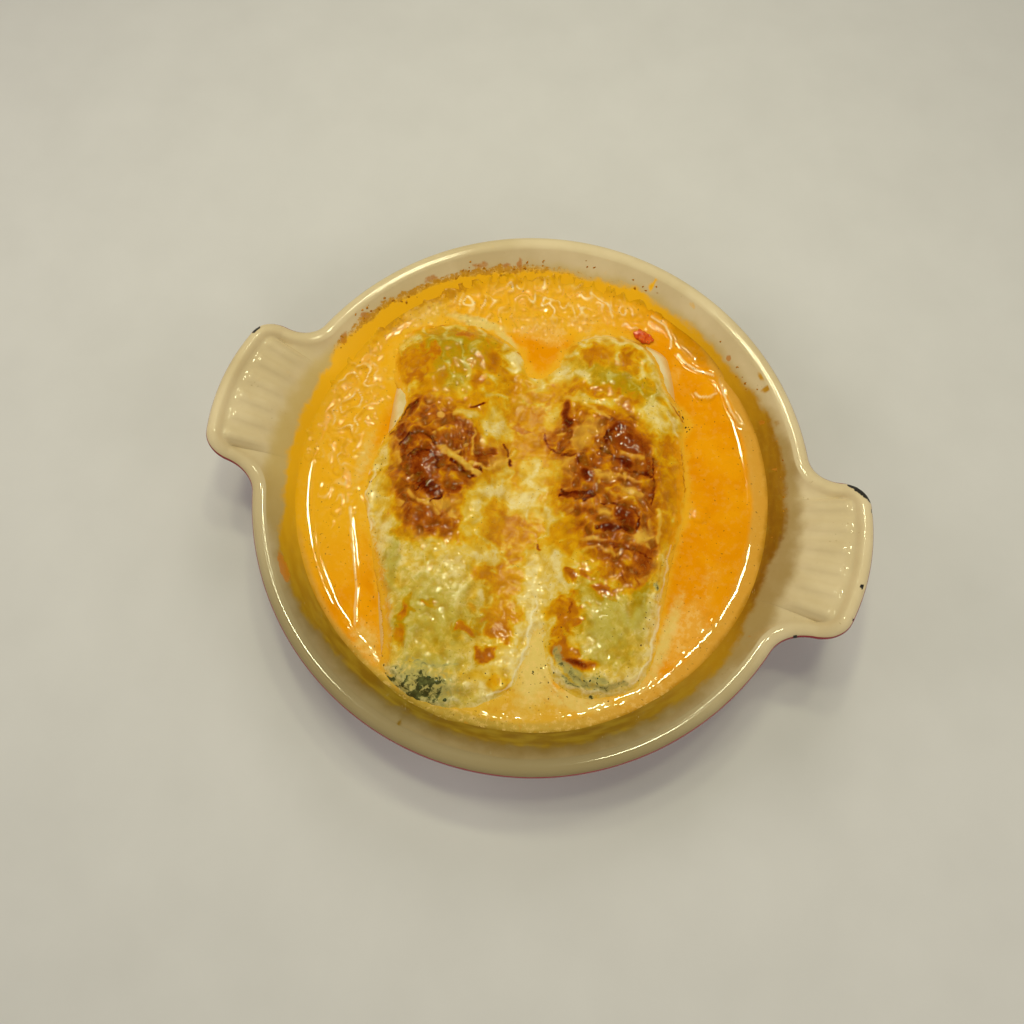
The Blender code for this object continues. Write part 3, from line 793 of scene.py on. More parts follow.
sauceFolds = [
    # (half width, height, points) of thin ridges in the skin of the sauce
    (0.7, 0.25, (-61, -28), (-57, -37), (-54, -43), (-51, -49), (-48, -55), (-46, -62), (-44, -67)),
    (0.8, 0.45, (24, -62.8), (27, -65.7), (29.8, -67.5)),
    (0.7, 0.3, (0, 83.8), (5, 82.4), (9, 80.3), (11.3, 76.2)),
    (0.8, 0.4, (26, 80.4), (32.4, 78), (35.8, 74), (36.7, 70)),
    (0.8, 0.4, (40, 68), (43.6, 65), (48.3, 63.3), (55, 62.7)),
    (0.8, 0.35, (57.8, 61.7), (61, 56), (65, 50), (69.3, 45.7)),
    (0.7, 0.3, (50, 53.5), (52, 52.2), (56, 53.5), (58, 56)),
]


def sauceSurface(x, y):
    radius, angle = np.hypot(x, y), np.degrees(np.arctan2(y, x))
    shore = byAngle(angle, shoreLine) + 1.0 * lumps(x, y, 24.0, 60) + 0.3 * lumps(x, y, 7.0, 59)
    climb = np.maximum(0, radius - shore) / (87 - shore)
    z = sauce["level"] + sauce["climb"] * climb**2
    z = z + 0.10 * lumps(x, y, 34.0, 61)
    frothy = patches(x, y, froth, 0.4, 63)
    bentX, bentY = x + 1.6 * lumps(x, y, 5.0, 65), y + 1.6 * lumps(x, y, 5.0, 57)
    worms = np.abs(lumps(bentX * 1.2, bentY * 0.8, sauce["wormSize"], 64))
    ridges = sauce["wormHeight"] * (1 - softStep(0.0, 0.40, worms))
    z = z + frothy * (ridges + 0.3 * lumps(x, y, 3.8, 54) - 0.1)
    # pale froth lines along the worm crests, and painted highlights along the crests of the sauce folds
    curl = frothy * (1 - softStep(0.0, 0.13, worms)) * softStep(-0.25, 0.45, lumps(x, y, 7.0, 53))
    crests = [(0.35, min(1.0, 2 * height), *points) for _, height, *points in sauceFolds]
    curl = np.maximum(curl, strokes(x, y, crests, 0.3, 52))
    rng = np.random.default_rng(66)
    spots = list(bubbles)
    for _ in range(sauce["smallBubbles"]):
        turn = rng.uniform(*sauce["bubbleTurn"])
        out = rng.uniform(*sauce["bubbleOut"])
        centre = out * math.cos(math.radians(turn)), out * math.sin(math.radians(turn))
        size, height = rng.uniform(*sauce["bubbleSize"]), rng.uniform(*sauce["bubbleHeight"])
        spots.append((*centre, size, height))
    for cx, cy, size, height in spots:
        reach = np.hypot(x - cx, y - cy) / size
        z = z + height * np.clip(1 - reach**2, 0, 1) ** 0.4
        z = z - 0.14 * np.exp(-(((reach - 1.15) / 0.14) ** 2))
    z = z + strokes(x, y, sauceFolds, 0.0, 1, 0.9)
    near = insideDistance(x, y, closedCurve(cheese["edge"], 4)) + 1.6 * rough(x, y, 5.0, 116)
    melt = softStep(-5.0, 1.0, near + 1.5 * rough(x, y, 9.0, 118))
    z = z + 0.3 * melt
    pale = patches(x, y, paleSauce, 0.5, 67, 0.7, 6.0)
    yellow = patches(x, y, yellowSauce, 0.3, 68, 0.7, 8.0)
    cream = patches(x, y, creamSauce, 0.4, 70, 0.7)
    edge = radius + 1.0 * rough(x, y, 10.0, 69)
    tan = softStep(79.5, 83.0, edge + byAngle(angle, tanShift))
    rim = np.maximum(softStep(84.4, 87.8, edge), 0.7 * patches(x, y, brownSauce, 0.4, 56))
    far = softStep(60, 90, angle % 360) * softStep(235, 205, angle % 360) * softStep(58, 66, radius)
    crumbs = patches(x, y, bakedSauce, 0.7, 55, 0.6, 3.0)
    # near marks the near side, where the sauce's edge colours are painted darker, partly as shade
    return z, {"pale": pale, "yellow": yellow, "rim": rim, "tan": tan, "far": far,
               "froth": frothy, "curl": curl, "cream": cream, "baked": crumbs, "melt": melt,
               "near": softStep(-62, -86, y)}


def saucePaint():
    paint = Paint("orangeSauce")
    drift = paint.noise(12.0, 3.0, 0.5, 0.6)
    fine = paint.noise(1.6, 4.0, 0.65)
    colour = paint.blend((0.76, 0.27, 0.0005), (0.82, 0.335, 0.003), paint.between(drift, 0.3, 0.72))
    colour = paint.blend(colour, (0.80, 0.40, 0.012), paint.mask("far"))
    froth = paint.mask("froth") * paint.between(fine, 0.4, 0.7)
    colour = paint.blend(colour, (0.86, 0.44, 0.01), froth * 0.5)
    # pale froth and painted highlights along the crests
    colour = paint.blend(colour, (0.96, 0.80, 0.42), paint.mask("curl") * 0.85)
    pale = paint.frayed("pale", paint.noise(4.0, 3.0), 0.7, 0.15, 0.95)
    colour = paint.blend(colour, (0.79, 0.41, 0.06), pale * 0.7)
    ragged = (fine - 0.5) * 0.8 + (drift - 0.5) * 0.5
    melt = paint.between(paint.mask("melt") + ragged, 0.3, 1.1)
    colour = paint.blend(colour, (0.80, 0.44, 0.025), melt * 0.7)
    # on the near side the tan and rim colours turn darker and more olive: partly the sauce's own
    # colour, partly painted shade
    tanColour = paint.blend((0.66, 0.34, 0.045), (0.50, 0.34, 0.06), paint.mask("near"))
    rimColour = paint.blend((0.36, 0.16, 0.001), (0.74, 0.38, 0.004), paint.mask("far"))
    rimColour = paint.blend(rimColour, (0.27, 0.165, 0.012), paint.mask("near"))
    colour = paint.layers(colour, [
        ("yellow", drift, 0.6, 0.1, 0.9, (0.68, 0.42, 0.045), 0.75),
        ("cream", fine, 0.6, 0.1, 0.9, (0.72, 0.54, 0.15), 0.9),
        ("tan", fine, 0.3, 0.1, 0.95, tanColour, 0.9),
    ])
    rim = paint.frayed("rim", fine, 0.3, 0.1, 0.95)
    colour = paint.blend(colour, rimColour, rim * 0.85)
    baked = paint.frayed("baked", fine, 1.2, 0.45, 0.8)
    colour = paint.blend(colour, (0.48, 0.19, 0.003), baked * 0.6)
    grain = paint.noise(2.6, 5.0, 0.7)
    clotted = paint.between(paint.mask("pale") + paint.mask("yellow") + paint.mask("cream"), 0.1, 0.8)
    clot = paint.between(grain, 0.50, 0.62) * (clotted * 0.35 + 0.08)
    colour = paint.blend(colour, (0.84, 0.56, 0.18), clot)
    gaps = paint.between(grain, 0.44, 0.34) * (clotted * 0.25 + 0.1)
    colour = paint.blend(colour, (0.60, 0.24, 0.006), gaps)
    pepper = paint.between(paint.noise(1.1, 1.0), 0.70, 0.76)
    colour = paint.blend(colour, (0.16, 0.08, 0.01), pepper * 0.6)
    roughness = paint.between(drift, 0.2, 0.8) * 0.02 + 0.04 + rim * 0.04 + baked * 0.15
    relief = fine * baked + paint.noise(3.2, 1.0, 0.4) * clotted
    return paint.finish(colour, roughness, paint.bump(relief, 0.2, 0.6))


# The two stuffed tubes

rolls = {
    "left": {"far": (-45.0, 52.0), "near": (-11.0, -83.0), "bow": -2.0,
             "halfWidth": (22.0, 24.5, 18.0), "top": (34.0, 36.2, 31.5), "seed": 101},
    "right": {"far": (16.5, 67.0), "near": (41.0, -65.5), "bow": 3.0,
              "halfWidth": (20.5, 25.0, 15.0), "top": (33.5, 36.0, 31.2), "seed": 102},
}
rollMiddle, rollBottom = 20.0, 5.2  # heights of the tubes' widest line and underside
squareness = 2.3  # 2 is an ellipse in section


def alongRoll(values, s):
    far, middle, near = values
    return far * (2 * s - 1) * (s - 1) + middle * 4 * s * (1 - s) + near * s * (2 * s - 1)


def rollAxes(roll):
    far, near = np.array(roll["far"]), np.array(roll["near"])
    length = np.hypot(*(near - far))
    run = (near - far) / length
    return far, run, np.array([-run[1], run[0]]), length


def bowAt(roll, s):
    return roll["bow"] * 4 * s * (1 - s)


def placeOn(roll, s, u):
    # x and y of a place a share s along a tube's bent axis and u to its side
    far, run, side, length = rollAxes(roll)
    aside = bowAt(roll, s) + u
    x = far[0] + run[0] * s * length + side[0] * aside
    y = far[1] + run[1] * s * length + side[1] * aside
    return x, y


def rollTop(roll, x, y):
    # height of a roll's back over a place; drops away at its sides and ends
    far, run, side, length = rollAxes(roll)
    s = ((x - far[0]) * run[0] + (y - far[1]) * run[1]) / length
    inside = np.clip(s, 0, 1)
    across = (x - far[0]) * side[0] + (y - far[1]) * side[1] - bowAt(roll, inside)
    half = alongRoll(roll["halfWidth"], inside)
    top = alongRoll(roll["top"], inside)
    ends = np.maximum(0, np.abs(s - 0.5) - 0.5 + 0.06) * length / 9.0
    reach = (np.abs(across) / half) ** squareness + ends**2.4
    up = np.clip(1 - reach, 0, 1) ** (1 / squareness)
    seed = roll["seed"]
    bulge = 0.7 * lumps(x, y, 22.0, seed) + 0.45 * rough(x, y, 9.0, seed + 1)
    return rollMiddle + (top - rollMiddle) * up + bulge * up


def ground(x, y):
    return np.maximum(rollTop(rolls["left"], x, y), rollTop(rolls["right"], x, y))


def makeRoll(side, roll):
    length = rollAxes(roll)[3]
    stations, around = 150, 132
    s = np.linspace(0, 1, stations)[:, None] + np.zeros((1, around))
    turn = np.linspace(0, 2 * math.pi, around, endpoint=False)[None, :] + np.zeros((stations, 1))
    endShare = np.clip(np.minimum(s, 1 - s) * length / 8.0, 0, 1)
    shrink = np.maximum(0.04, 1 - (1 - endShare) ** 2.4) ** (1 / 2.4)
    half = alongRoll(roll["halfWidth"], s) * shrink
    u = np.sign(np.cos(turn)) * np.abs(np.cos(turn)) ** (2 / squareness) * half
    up = np.sin(turn)
    x, y = placeOn(roll, s, u)
    floor = np.maximum(rollBottom, wallHeight(np.hypot(x, y)) + 0.4)
    top = rollTop(roll, x, y)
    lower = rollMiddle - (rollMiddle - rollBottom) * np.abs(up) ** (2 / squareness) * shrink
    z = np.where(up >= 0, top, np.minimum(np.maximum(lower, floor), top - 0.05))
    z = np.maximum(z, wallHeight(np.hypot(x, y)) - 3.0)
    soak = 1 - softStep(27.5, 33.0, z + 1.5 * rough(x, y, 7.0, roll["seed"] + 3))
    rings = np.stack([x, y, z], -1)
    masks = {"soak": soak[:, ::-1]}
    piece = buildRings("pasta" + side.title(), rings[:, ::-1], pastaPaint(side), masks)
    return place(piece, "pasta", "cannelloni_" + side)


def pastaPaint(side):
    paint = Paint("pasta" + side.title())
    drift, fine = paint.noise(9.0, 4.0), paint.noise(1.8, 4.0, 0.65)
    colour = paint.blend((0.66, 0.52, 0.20), (0.80, 0.68, 0.40), paint.between(drift, 0.3, 0.7))
    colour = paint.layers(colour, [("soak", fine, 0.4, 0.2, 1.0, (0.78, 0.36, 0.03), 0.55)])
    return paint.finish(colour, fine * 0.2 + 0.22, paint.bump(fine + drift, 0.25, 0.7))


# The melted, browned cheese

cheese = {
    "cell": 0.4, "acrossX": (-72, 63), "acrossY": (-91, 74),
    "thickness": 1.0, "edgeWidth": 4.5, "low": 25.0,
    "fan": (-27, 6, 5, 7, 12, 1),  # a striped patch, given like those below
    "strands": 900, "strandLength": (4.0, 15.0), "strandWidth": (0.6, 1.4),
    "blisters": 70, "blisterSize": (1.2, 3.4),
    "goldFar": 0.10, "goldNear": 0.36, "amber": 0.66, "bare": 0.03, "shreds": 0.22,
    "edge": [(-66, 45), (-62, 51), (-54, 54.5), (-46, 57), (-37, 57.5), (-30, 55), (-24, 53),
             (-19, 51.5), (-15.5, 47), (-12.5, 43), (-9, 43.5), (-6, 47), (-4, 53), (-1, 60),
             (4, 66), (11, 69), (19, 70), (26, 67), (32, 62), (36, 56), (40, 50), (46, 45),
             (50.5, 40), (50, 34), (52, 28), (55, 20), (57, 12), (57.5, 3), (57, -6), (56, -13),
             (57, -22), (57.5, -32), (58.5, -41), (59.5, -48), (57.5, -56), (52, -61), (45, -65),
             (38, -67.5), (31, -66), (25, -61.5), (21, -55), (18.5, -51), (17.5, -54), (18.3, -58),
             (16.5, -64), (16.3, -69), (14, -74), (9, -79), (3, -83), (-4, -86.5), (-12, -87.5),
             (-19, -86), (-25, -81.5), (-30, -78), (-31, -71), (-34, -64), (-38, -56), (-43, -48),
             (-48, -40), (-53, -32), (-58, -25), (-60, -16), (-60, -7), (-58, 1), (-55.5, 7),
             (-54.5, 14), (-57, 20), (-62, 24), (-66, 31), (-68, 38)],
    "crusts": ([(-51, 18), (-44, 19), (-37, 18), (-30, 15), (-25, 13), (-20, 8), (-15, 10), (-10, 4),
                (-14, 0), (-19, -3), (-20, -9), (-22, -15), (-20, -21), (-18, -26), (-24, -30),
                (-31, -33), (-38, -30), (-43, -23), (-48, -16), (-50, -8), (-53, -2), (-57, 3),
                (-54, 10)],
               [(3, 34), (10, 31), (17, 31), (24, 33), (31, 32), (37, 27), (42, 20), (45, 12), (46, 4),
                (48, -4), (51, -12), (50, -22), (43, -26), (36, -25), (29, -21), (23, -17), (18, -8),
                (10, -1), (11, 6), (4, 12), (-1, 18), (3, 25)]),
}

# patches of baking: (x, y, half length, half width, turn, bake level)
# bake level: 0.15 pale, 0.35 gold, 0.45 orange gold, 0.6 amber, 0.8 red brown, 1 nearly black
browning = [
    (-39, -5, 12, 13, 0, 0.76), (-29, 42, 7, 8, 0, 0.44), (-31, 30, 2.4, 6, -5, 0.52),
    (-42, 50, 5, 2.4, 0, 0.56), (-56, 34, 9, 8, 20, 0.46), (-51, 38, 4, 3, 0, 0.54),
    (-45, 27, 14, 5, -8, 0.4), (-54, 27, 6, 4, 20, 0.52), (-30, 22, 12, 4, 0, 0.42),
    (-9, 24, 10, 7, 10, 0.42), (-10, 19, 6, 2.4, 0, 0.54), (-8, 12, 5, 8, 20, 0.38),
    (-15, 33, 9, 5, -10, 0.38), (-4, -19, 9, 9, 0, 0.44), (-2, -15, 8, 3, 0, 0.5),
    (4, -22, 5, 6, 0, 0.46), (-21, -24, 6, 3, 0, 0.48), (-19, -17, 4, 5, 0, 0.36),
    (3, -28, 5, 4, 0, 0.48), (-6, -37, 5, 3.5, 0, 0.48), (2, -38, 8, 7, 0, 0.42),
    (4, -50, 8, 7, 0, 0.45), (6, -55, 5, 3, 0, 0.52), (11, 41, 16, 2.6, 6, 0.48),
    (0, 37, 7, 6, 0, 0.4), (15, 37.5, 8, 2.6, -8, 0.46), (26, 38, 5, 4, 0, 0.5),
    (10, 55, 7, 6, 0, 0.46), (9, 51.5, 4, 2, 0, 0.54), (22, 57, 4, 4, 0, 0.52), (21, 50, 5, 3, 0, 0.42),
    (46, 27, 6, 5, -30, 0.54), (50, 12, 5, 14, 8, 0.47), (52, -5, 4.5, 10, 0, 0.45),
    (26, -43, 5, 8, -5, 0.54), (28, -54, 5, 4, -20, 0.56), (22, -42, 4, 4, 0, 0.46),
    (35, -31, 5, 3, 0, 0.6), (24, -29, 2.6, 2, 0, 0.7), (28, -27, 3, 2, 20, 0.62),
    (18, -20, 8, 3, 20, 0.42), (8, -14, 3, 2.4, 0, 0.52), (-27.5, -58, 2.2, 3.6, 0, 0.52),
    (-27, -66, 2.4, 4.5, 0, 0.48), (-21, -53, 2.4, 1.4, 0, 0.52), (-5.5, -57, 4.6, 1.9, 15, 0.56),
    (3, -63.5, 4.6, 2.8, 35, 0.62), (-20, 48, 3, 1, -20, 0.5), (-36, 22, 8, 3, 0, 0.46),
    (10.5, -71.5, 3.4, 3, 0, 0.42), (17, 33, 7, 2, 0, 0.5), (48, -20, 4, 6, 0, 0.5),
    (-58, -29, 5.5, 1.5, -50, 0.62), (-46.5, -27.5, 2, 1.8, 0, 0.72),
]
darkSpots = [
    # the same for the darkest places, which are broken up finer
    (-49.8, 13.5, 4.8, 1.5, 72, 0.86), (-53.5, 4.5, 3.4, 2.2, 20, 0.84), (-50, 2.5, 2.6, 2.4, 0, 0.8),
    (-47.5, -2, 1.6, 4.2, 8, 0.86), (-46, -9, 1.4, 3, -10, 0.74), (-42.5, 4.5, 4.2, 1.8, -8, 0.8),
    (-36, -3, 2.2, 3, 30, 0.82), (-42, -3.5, 2.2, 4.2, -20, 0.88), (-39, -9.5, 4.2, 2, -15, 0.82),
    (-38.5, -4.5, 5.6, 5.6, 0, 0.7), (-33.5, -14.5, 6.2, 2.9, -18, 0.92),
    (-39, -14, 2.2, 1.5, 0, 0.82), (-25.5, -12, 3.2, 2.4, 0, 0.86), (-27, -5.5, 4.4, 1.3, -5, 0.86),
    (-22, -5.8, 2.4, 0.9, -5, 1), (-19.5, -3, 2, 1.4, -30, 0.84), (-25, 9, 3.2, 2.2, -30, 0.76),
    (-21, 3, 2.2, 3.4, 20, 0.8), (-17, 5.5, 3, 1.7, 45, 0.8), (-33, -24, 4.4, 3.4, 0, 0.66),
    (-28.5, -28, 2.8, 3.6, 0, 0.7), (-38, -25, 2, 5, 8, 0.68), (-43, -17, 2.4, 4, 0, 0.66),
    (-30, 6, 3, 5, 10, 0.68), (5, 30, 1.5, 4.4, 10, 0.92), (7, 25.5, 2.2, 2.2, 0, 0.98),
    (8.5, 21, 1.3, 2.4, 0, 0.82), (15.2, 12, 1.4, 2.4, -20, 0.96), (19, 7, 3.6, 2.2, -35, 0.88),
    (22, 0.6, 2.6, 1.3, 15, 0.96), (16.5, -1.6, 5.4, 1.3, 5, 0.88), (21.5, 30, 2.6, 1.4, 0, 0.9),
    (25, 28, 2.2, 1.5, 0, 0.9), (30.5, 23.5, 8.2, 5.6, -28, 0.76), (23, 23.5, 1.5, 4.4, -12, 0.92),
    (39.5, 16, 1.6, 4, 15, 0.78), (31, 15, 4.2, 2.6, -8, 0.86), (27, 14.5, 2, 1.3, 0, 0.86),
    (38, 13, 3.2, 1, 0, 0.95), (43, 7, 1.1, 5, -10, 0.86), (29, -1.5, 1.6, 1.5, 0, 0.86),
    (35.5, -3.5, 4.2, 4.2, 0, 0.84), (31.5, -10, 4.2, 1.9, 12, 1), (38, -7, 3, 3.4, 0, 0.82),
    (37, -15, 5, 1.6, 5, 0.76), (42, -14, 2.4, 1.6, 0, 0.74), (46, -17, 3.4, 4.4, 10, 0.7),
    (44, -22.5, 4, 1.8, 0, 0.74), (33, -57, 4.4, 1.4, -5, 0.9), (38.5, -56, 2.4, 1, 10, 0.72),
    (-50, -13.5, 0.9, 0.8, 0, 0.95),
]
darkLines = [
    # (half width, bake level, then the points it runs through)
    (1.1, 0.92, (-56.2, 3), (-55, 8.3), (-52.6, 12.8), (-49, 16.1)),
    (0.7, 0.95, (-49.7, -1.7), (-48, 2.2), (-44.2, 4.9), (-39.2, 4), (-36.8, 1.5)),
    (0.7, 0.98, (-44.6, -5), (-42.6, -1.9), (-38.1, -1.4), (-34, -4.2), (-33, -7.1)),
    (0.5, 0.95, (-37.9, -17.2), (-36.1, -13.6), (-30.1, -13.3), (-28, -17.3), (-31.8, -19.3)),
    (0.6, 0.98, (21.5, 22.1), (22.1, 24.9), (26.6, 26.9)),
    (0.6, 0.95, (21.4, 18), (25.6, 16.6), (31.1, 14.3)), (0.6, 0.95, (35.3, 12.3), (41.3, 12.9)),
    (0.8, 0.96, (12, -2), (16.7, -0.5), (23.7, 0.5), (20.8, -2.4)),
    (0.5, 0.9, (26.9, -2.4), (31.4, -1.1), (37.4, -0.6), (41.1, -3.2), (41.4, -7.5)),
    (1.2, 0.98, (28, -10.8), (33.5, -9.2), (39.3, -8.1)),
    (0.5, 0.86, (35.3, -16.1), (42.2, -14.7), (48.4, -15.8)),
    (0.5, 0.86, (40.2, 19.7), (43.8, 7.8), (43.8, 2.8)),
    (0.7, 0.98, (-29.1, -2.7), (-25.6, -4), (-20.9, -6.5), (-18.6, -4.2), (-18.2, -0.9)),
    (0.45, 0.9, (-29, 19.5), (-27, 21), (-25, 23.5)), (0.5, 0.96, (-14, 11), (-11.5, 8.5), (-9, 4)),
    (0.5, 0.82, (-0.5, 20), (1, 16.5), (3.5, 14.5), (8, 13), (13, 13.6)),
    (0.6, 0.85, (8, 12.4), (11.5, 12.8)), (0.5, 0.84, (12, 0), (14, -2), (18, -2.8), (23, -0.4)),
    (0.45, 0.8, (26, 28), (22.5, 26), (21.5, 22), (23, 18)),
    (0.5, 0.85, (42, 44), (46, 42), (50, 39.5)), (0.4, 0.75, (27, 11), (30, 12.5), (34, 12)),
    (0.4, 0.62, (50, 30), (52, 24), (55, 15), (57.3, 8), (57.8, 1), (56.8, -7), (54.8, -12)),
    (0.4, 0.66, (-61, 51.5), (-56, 53), (-52, 53)), (0.4, 0.66, (-49, 55.5), (-42, 56.5)),
    (0.4, 0.7, (-20, 50), (-16, 48)), (0.4, 0.7, (26, -38), (27, -42)),
    (0.4, 0.75, (9, -21.5), (10.5, -23)), (0.4, 0.8, (40, -24), (42, -26)),
    (0.35, 0.7, (36, -22), (38, -25)), (0.35, 0.7, (45, -24), (47, -26)),
    (0.4, 0.62, (-57, -24), (-53, -32)),
]
# patches of other looks: (x, y, half length, half width, turn, strength)
paleSpots = [
    (-18, 16, 4, 8, 20, 0.8), (-21, 8, 2, 4, 0, 0.6), (-30, 16.5, 4, 1.4, 5, 0.9),
    (-12, 2, 3.5, 3.5, 0, 0.9), (-56, -7, 3, 9, 0, 0.9), (-57, 0, 2.4, 3, 0, 0.7),
    (-49.5, -5, 2.2, 2.6, 0, 0.8), (-54, -19, 4, 7, 8, 0.8), (-46, -33, 5, 8, 30, 0.9),
    (-27, -19, 5, 2.4, 0, 0.7), (-16, -16, 4, 10, 5, 0.8), (-2, -7, 9, 5, 0, 0.9), (0, 3, 5, 6, 0, 0.8),
    (2, 28, 3, 5, 0, 0.8), (-8, 40, 4, 5, 0, 0.6), (-37, 28, 5, 5, 0, 0.6), (-2, 47, 4, 6, 10, 0.9),
    (12, 64.5, 13, 2.6, 0, 0.9), (10, 47.5, 12, 3.5, 0, 0.6), (13, 36, 9, 1.6, 0, 0.9),
    (38, 36, 6, 5, -15, 0.9), (31, 60, 3, 6, 32, 1), (38, 51, 3, 5, 40, 1), (46, 38, 4, 2.6, -20, 0.9),
    (13, 21, 3, 5, 0, 0.7), (16, 25, 4, 3, 0, 0.6), (9, 8.5, 4.5, 3.2, 0, 0.8), (36, 5, 4, 2, -10, 0.9),
    (25, 8, 4, 1.6, 10, 0.7), (43, -10, 3.4, 2.6, 15, 1), (29, -5, 2.4, 1.4, 0, 0.8),
    (9, -11, 4, 4, 0, 0.8), (13, -27, 8, 6, 0, 0.8), (13, -38, 6, 8, 0, 0.9), (16, -50, 5, 5, 0, 0.9),
    (14, -62, 5, 10, 0, 0.7), (53, -18, 2.6, 9, 0, 0.9), (54, -36, 3.4, 12, -4, 0.8),
    (50, -57, 8, 3, 25, 0.8), (-20, 47, 4, 5, 20, 1), (-22, -35, 14, 4, 0, 0.7),
    (-18, -46, 14, 7, 0, 0.5), (42, -40, 3.4, 8, -8, 0.6), (-28, -77.5, 4, 1.6, 0, 1),
    (-6, -84, 16, 3, 5, 0.8), (6, -77, 6, 6, 0, 0.8), (-21, -80, 3, 2, 0, 0.9),
    (-64, 41, 4, 3, 20, 0.7),
]
greenSpots = [
    (-44, 42, 16, 11, 10, 0.9), (-40, 30, 9, 6, 0, 0.7), (-18, -56, 18, 16, 10, 0.8),
    (-38, -44, 3, 12, 12, 0.9), (-12, -71, 12, 4, 20, 0.9), (22, 46, 14, 5, -8, 0.9),
    (8, 50, 9, 6, 0, 0.5), (40, -42, 10, 13, 5, 0.9), (49, -34, 4, 12, 0, 1), (45, -52, 9, 4, 20, 0.8),
    (-30, -36, 5, 7, 15, 0.4), (32, -33, 7, 6, 0, 0.7), (-12, 30, 9, 6, 0, 0.4),
    (-5, -80, 14, 5, 10, 0.7), (40, -62, 14, 3.4, 5, 0.7), (-59, 45, 6, 4, 30, 0.5),
]
leafSpots = [
    (-15, -80, 12, 7, 8, 0.5), (-26, -80.8, 2.6, 1.1, 12, 1), (-16.5, -84.6, 4.2, 1.9, 8, 1),
    (-13, -77.6, 3.4, 2, 24, 1), (-12.5, -81.5, 2, 1.6, 60, 0.9), (26.5, -56, 1.6, 3, 20, 0.4),
    (53, -24, 0.8, 1.4, 0, 0.7), (41.5, -66.3, 0.8, 0.6, 0, 0.9),
]
leafLines = [
    # (half width, strength, then the points it runs through)
    (0.9, 0.42, (27, -57), (31, -60.5), (37, -63), (44, -62.5), (51, -58.5)),
    (0.5, 0.6, (30, -62.5), (33, -64), (36, -64.6)), (0.9, 0.36, (31, -59), (38, -61), (45, -60)),
    (0.5, 0.35, (-20, -72), (-12, -72.5), (-5, -69)),
    (1, 0.9, (-17.5, -83.5), (-14, -82), (-11.8, -80.4)), (0.8, 0.9, (-14.5, -82), (-15.4, -78.6)),
    (0.8, 0.8, (-9.6, -84.4), (-8, -82), (-8.4, -79.4)), (0.6, 0.8, (-22, -83), (-20, -80)),
    (0.7, 0.8, (-11.5, -78.5), (-8.8, -76.6)),
]
orangeFlanks = [
    # (strength, then the points it runs through)
    (0.9, (-70, 36), (-68, 28), (-63, 23)), (0.8, (51, 30), (55, 18), (58, 4), (57, -10)),
    (0.7, (-61, -10), (-59, -22), (-52, -34), (-42, -50), (-35, -62), (-31, -74)),
    (0.5, (-66, 45), (-58, 54)),
]
satinSpots = [
    (-3, 2, 12, 52, 6, 1), (0, 46, 8, 12, 0, 0.8), (-2, -44, 12, 14, 0, 0.7),
]
swellings = [
    # (x, y, half length, half width, turn, height)
    (-38.5, -5, 6.2, 6.4, 0, 1.5), (-33, -14.5, 7, 4.2, -16, 1.2), (-25.5, -12, 4.2, 3.2, 0, 1),
    (-43, 4, 5, 3, 0, 0.9), (-50, 13, 5.6, 2.6, 70, 1), (-53, 4, 4.6, 3.4, 20, 0.9),
    (-32, -25, 5.6, 4.6, 0, 0.9), (30.5, 23.5, 9.4, 6.6, -28, 2), (31.5, 14.5, 6.4, 3.8, -8, 1.2),
    (36.5, -4, 5.6, 5.2, 0, 1.3), (31.5, -9.5, 5, 2.8, 12, 1), (46, -17, 4.6, 5.6, 10, 1.4),
    (19, 7, 4.6, 3.2, -35, 1), (17, -1, 6.6, 2.6, 5, 1), (5.5, 29, 2.6, 5.6, 10, 1),
    (43, -10, 3.6, 2.8, 15, 1.3), (36, 5, 4.4, 2.4, -10, 0.8), (39, 15, 3, 5, 15, 1),
    (38, 36, 6.5, 4.6, -15, 0.8), (-28, -77.5, 4.4, 1.8, 0, 1), (-20, 47, 4, 5, 20, 0.9),
    (10.5, -71.5, 3.2, 3, 0, 1), (-49.5, -5, 2.4, 3, 0, 0.9), (-5.5, -57, 5, 2.2, 15, 0.5),
    (3, -63.5, 4.6, 3, 35, 0.6), (33, -57, 5, 2, -5, 0.7), (41, -41, 5, 10, -5, 0.9),
]
palePieces = [
    # (half width, height, points) of pale shreds lying on top
    (1.1, 1, (-31, 0), (-27, -1.4), (-22, -3.2), (-18.8, -4.2)),
    (0.9, 0.7, (-34, 15), (-30, 16.5), (-26, 17.5)), (0.6, 0.7, (-24.6, 11), (-24, 6), (-22.6, 2)),
    (1, 0.6, (29, 18), (33, 17.6), (37, 18.6)), (0.9, 0.6, (24, 7), (28, 9), (33, 9.6), (38, 9)),
    (0.9, 0.5, (27, 3), (31, 1.6), (36, 2.6)), (0.9, 0.7, (47, 2), (49, -3), (49.5, -9)),
    (0.7, 0.6, (51.6, -12), (52.4, -19), (53.6, -27)), (0.7, 0.6, (53, -11), (54, -18), (55, -25)),
    (0.9, 0.8, (40, 49), (44, 46.4), (48.6, 43.4)), (0.8, 0.8, (41, 44), (46, 40.6), (49, 37)),
    (1.4, 0.8, (27, 63), (33, 59), (37, 53), (42, 48)), (0.9, 0.7, (30, 64), (36, 58), (40, 51)),
    (1, 0.7, (3, 36), (9, 35), (16, 32), (21, 30)),
    (0.8, 0.7, (-22, -1), (-16, -1), (-11, 4), (-9, 10)), (0.8, 0.6, (25, -20), (30, -17), (36, -18.4)),
]
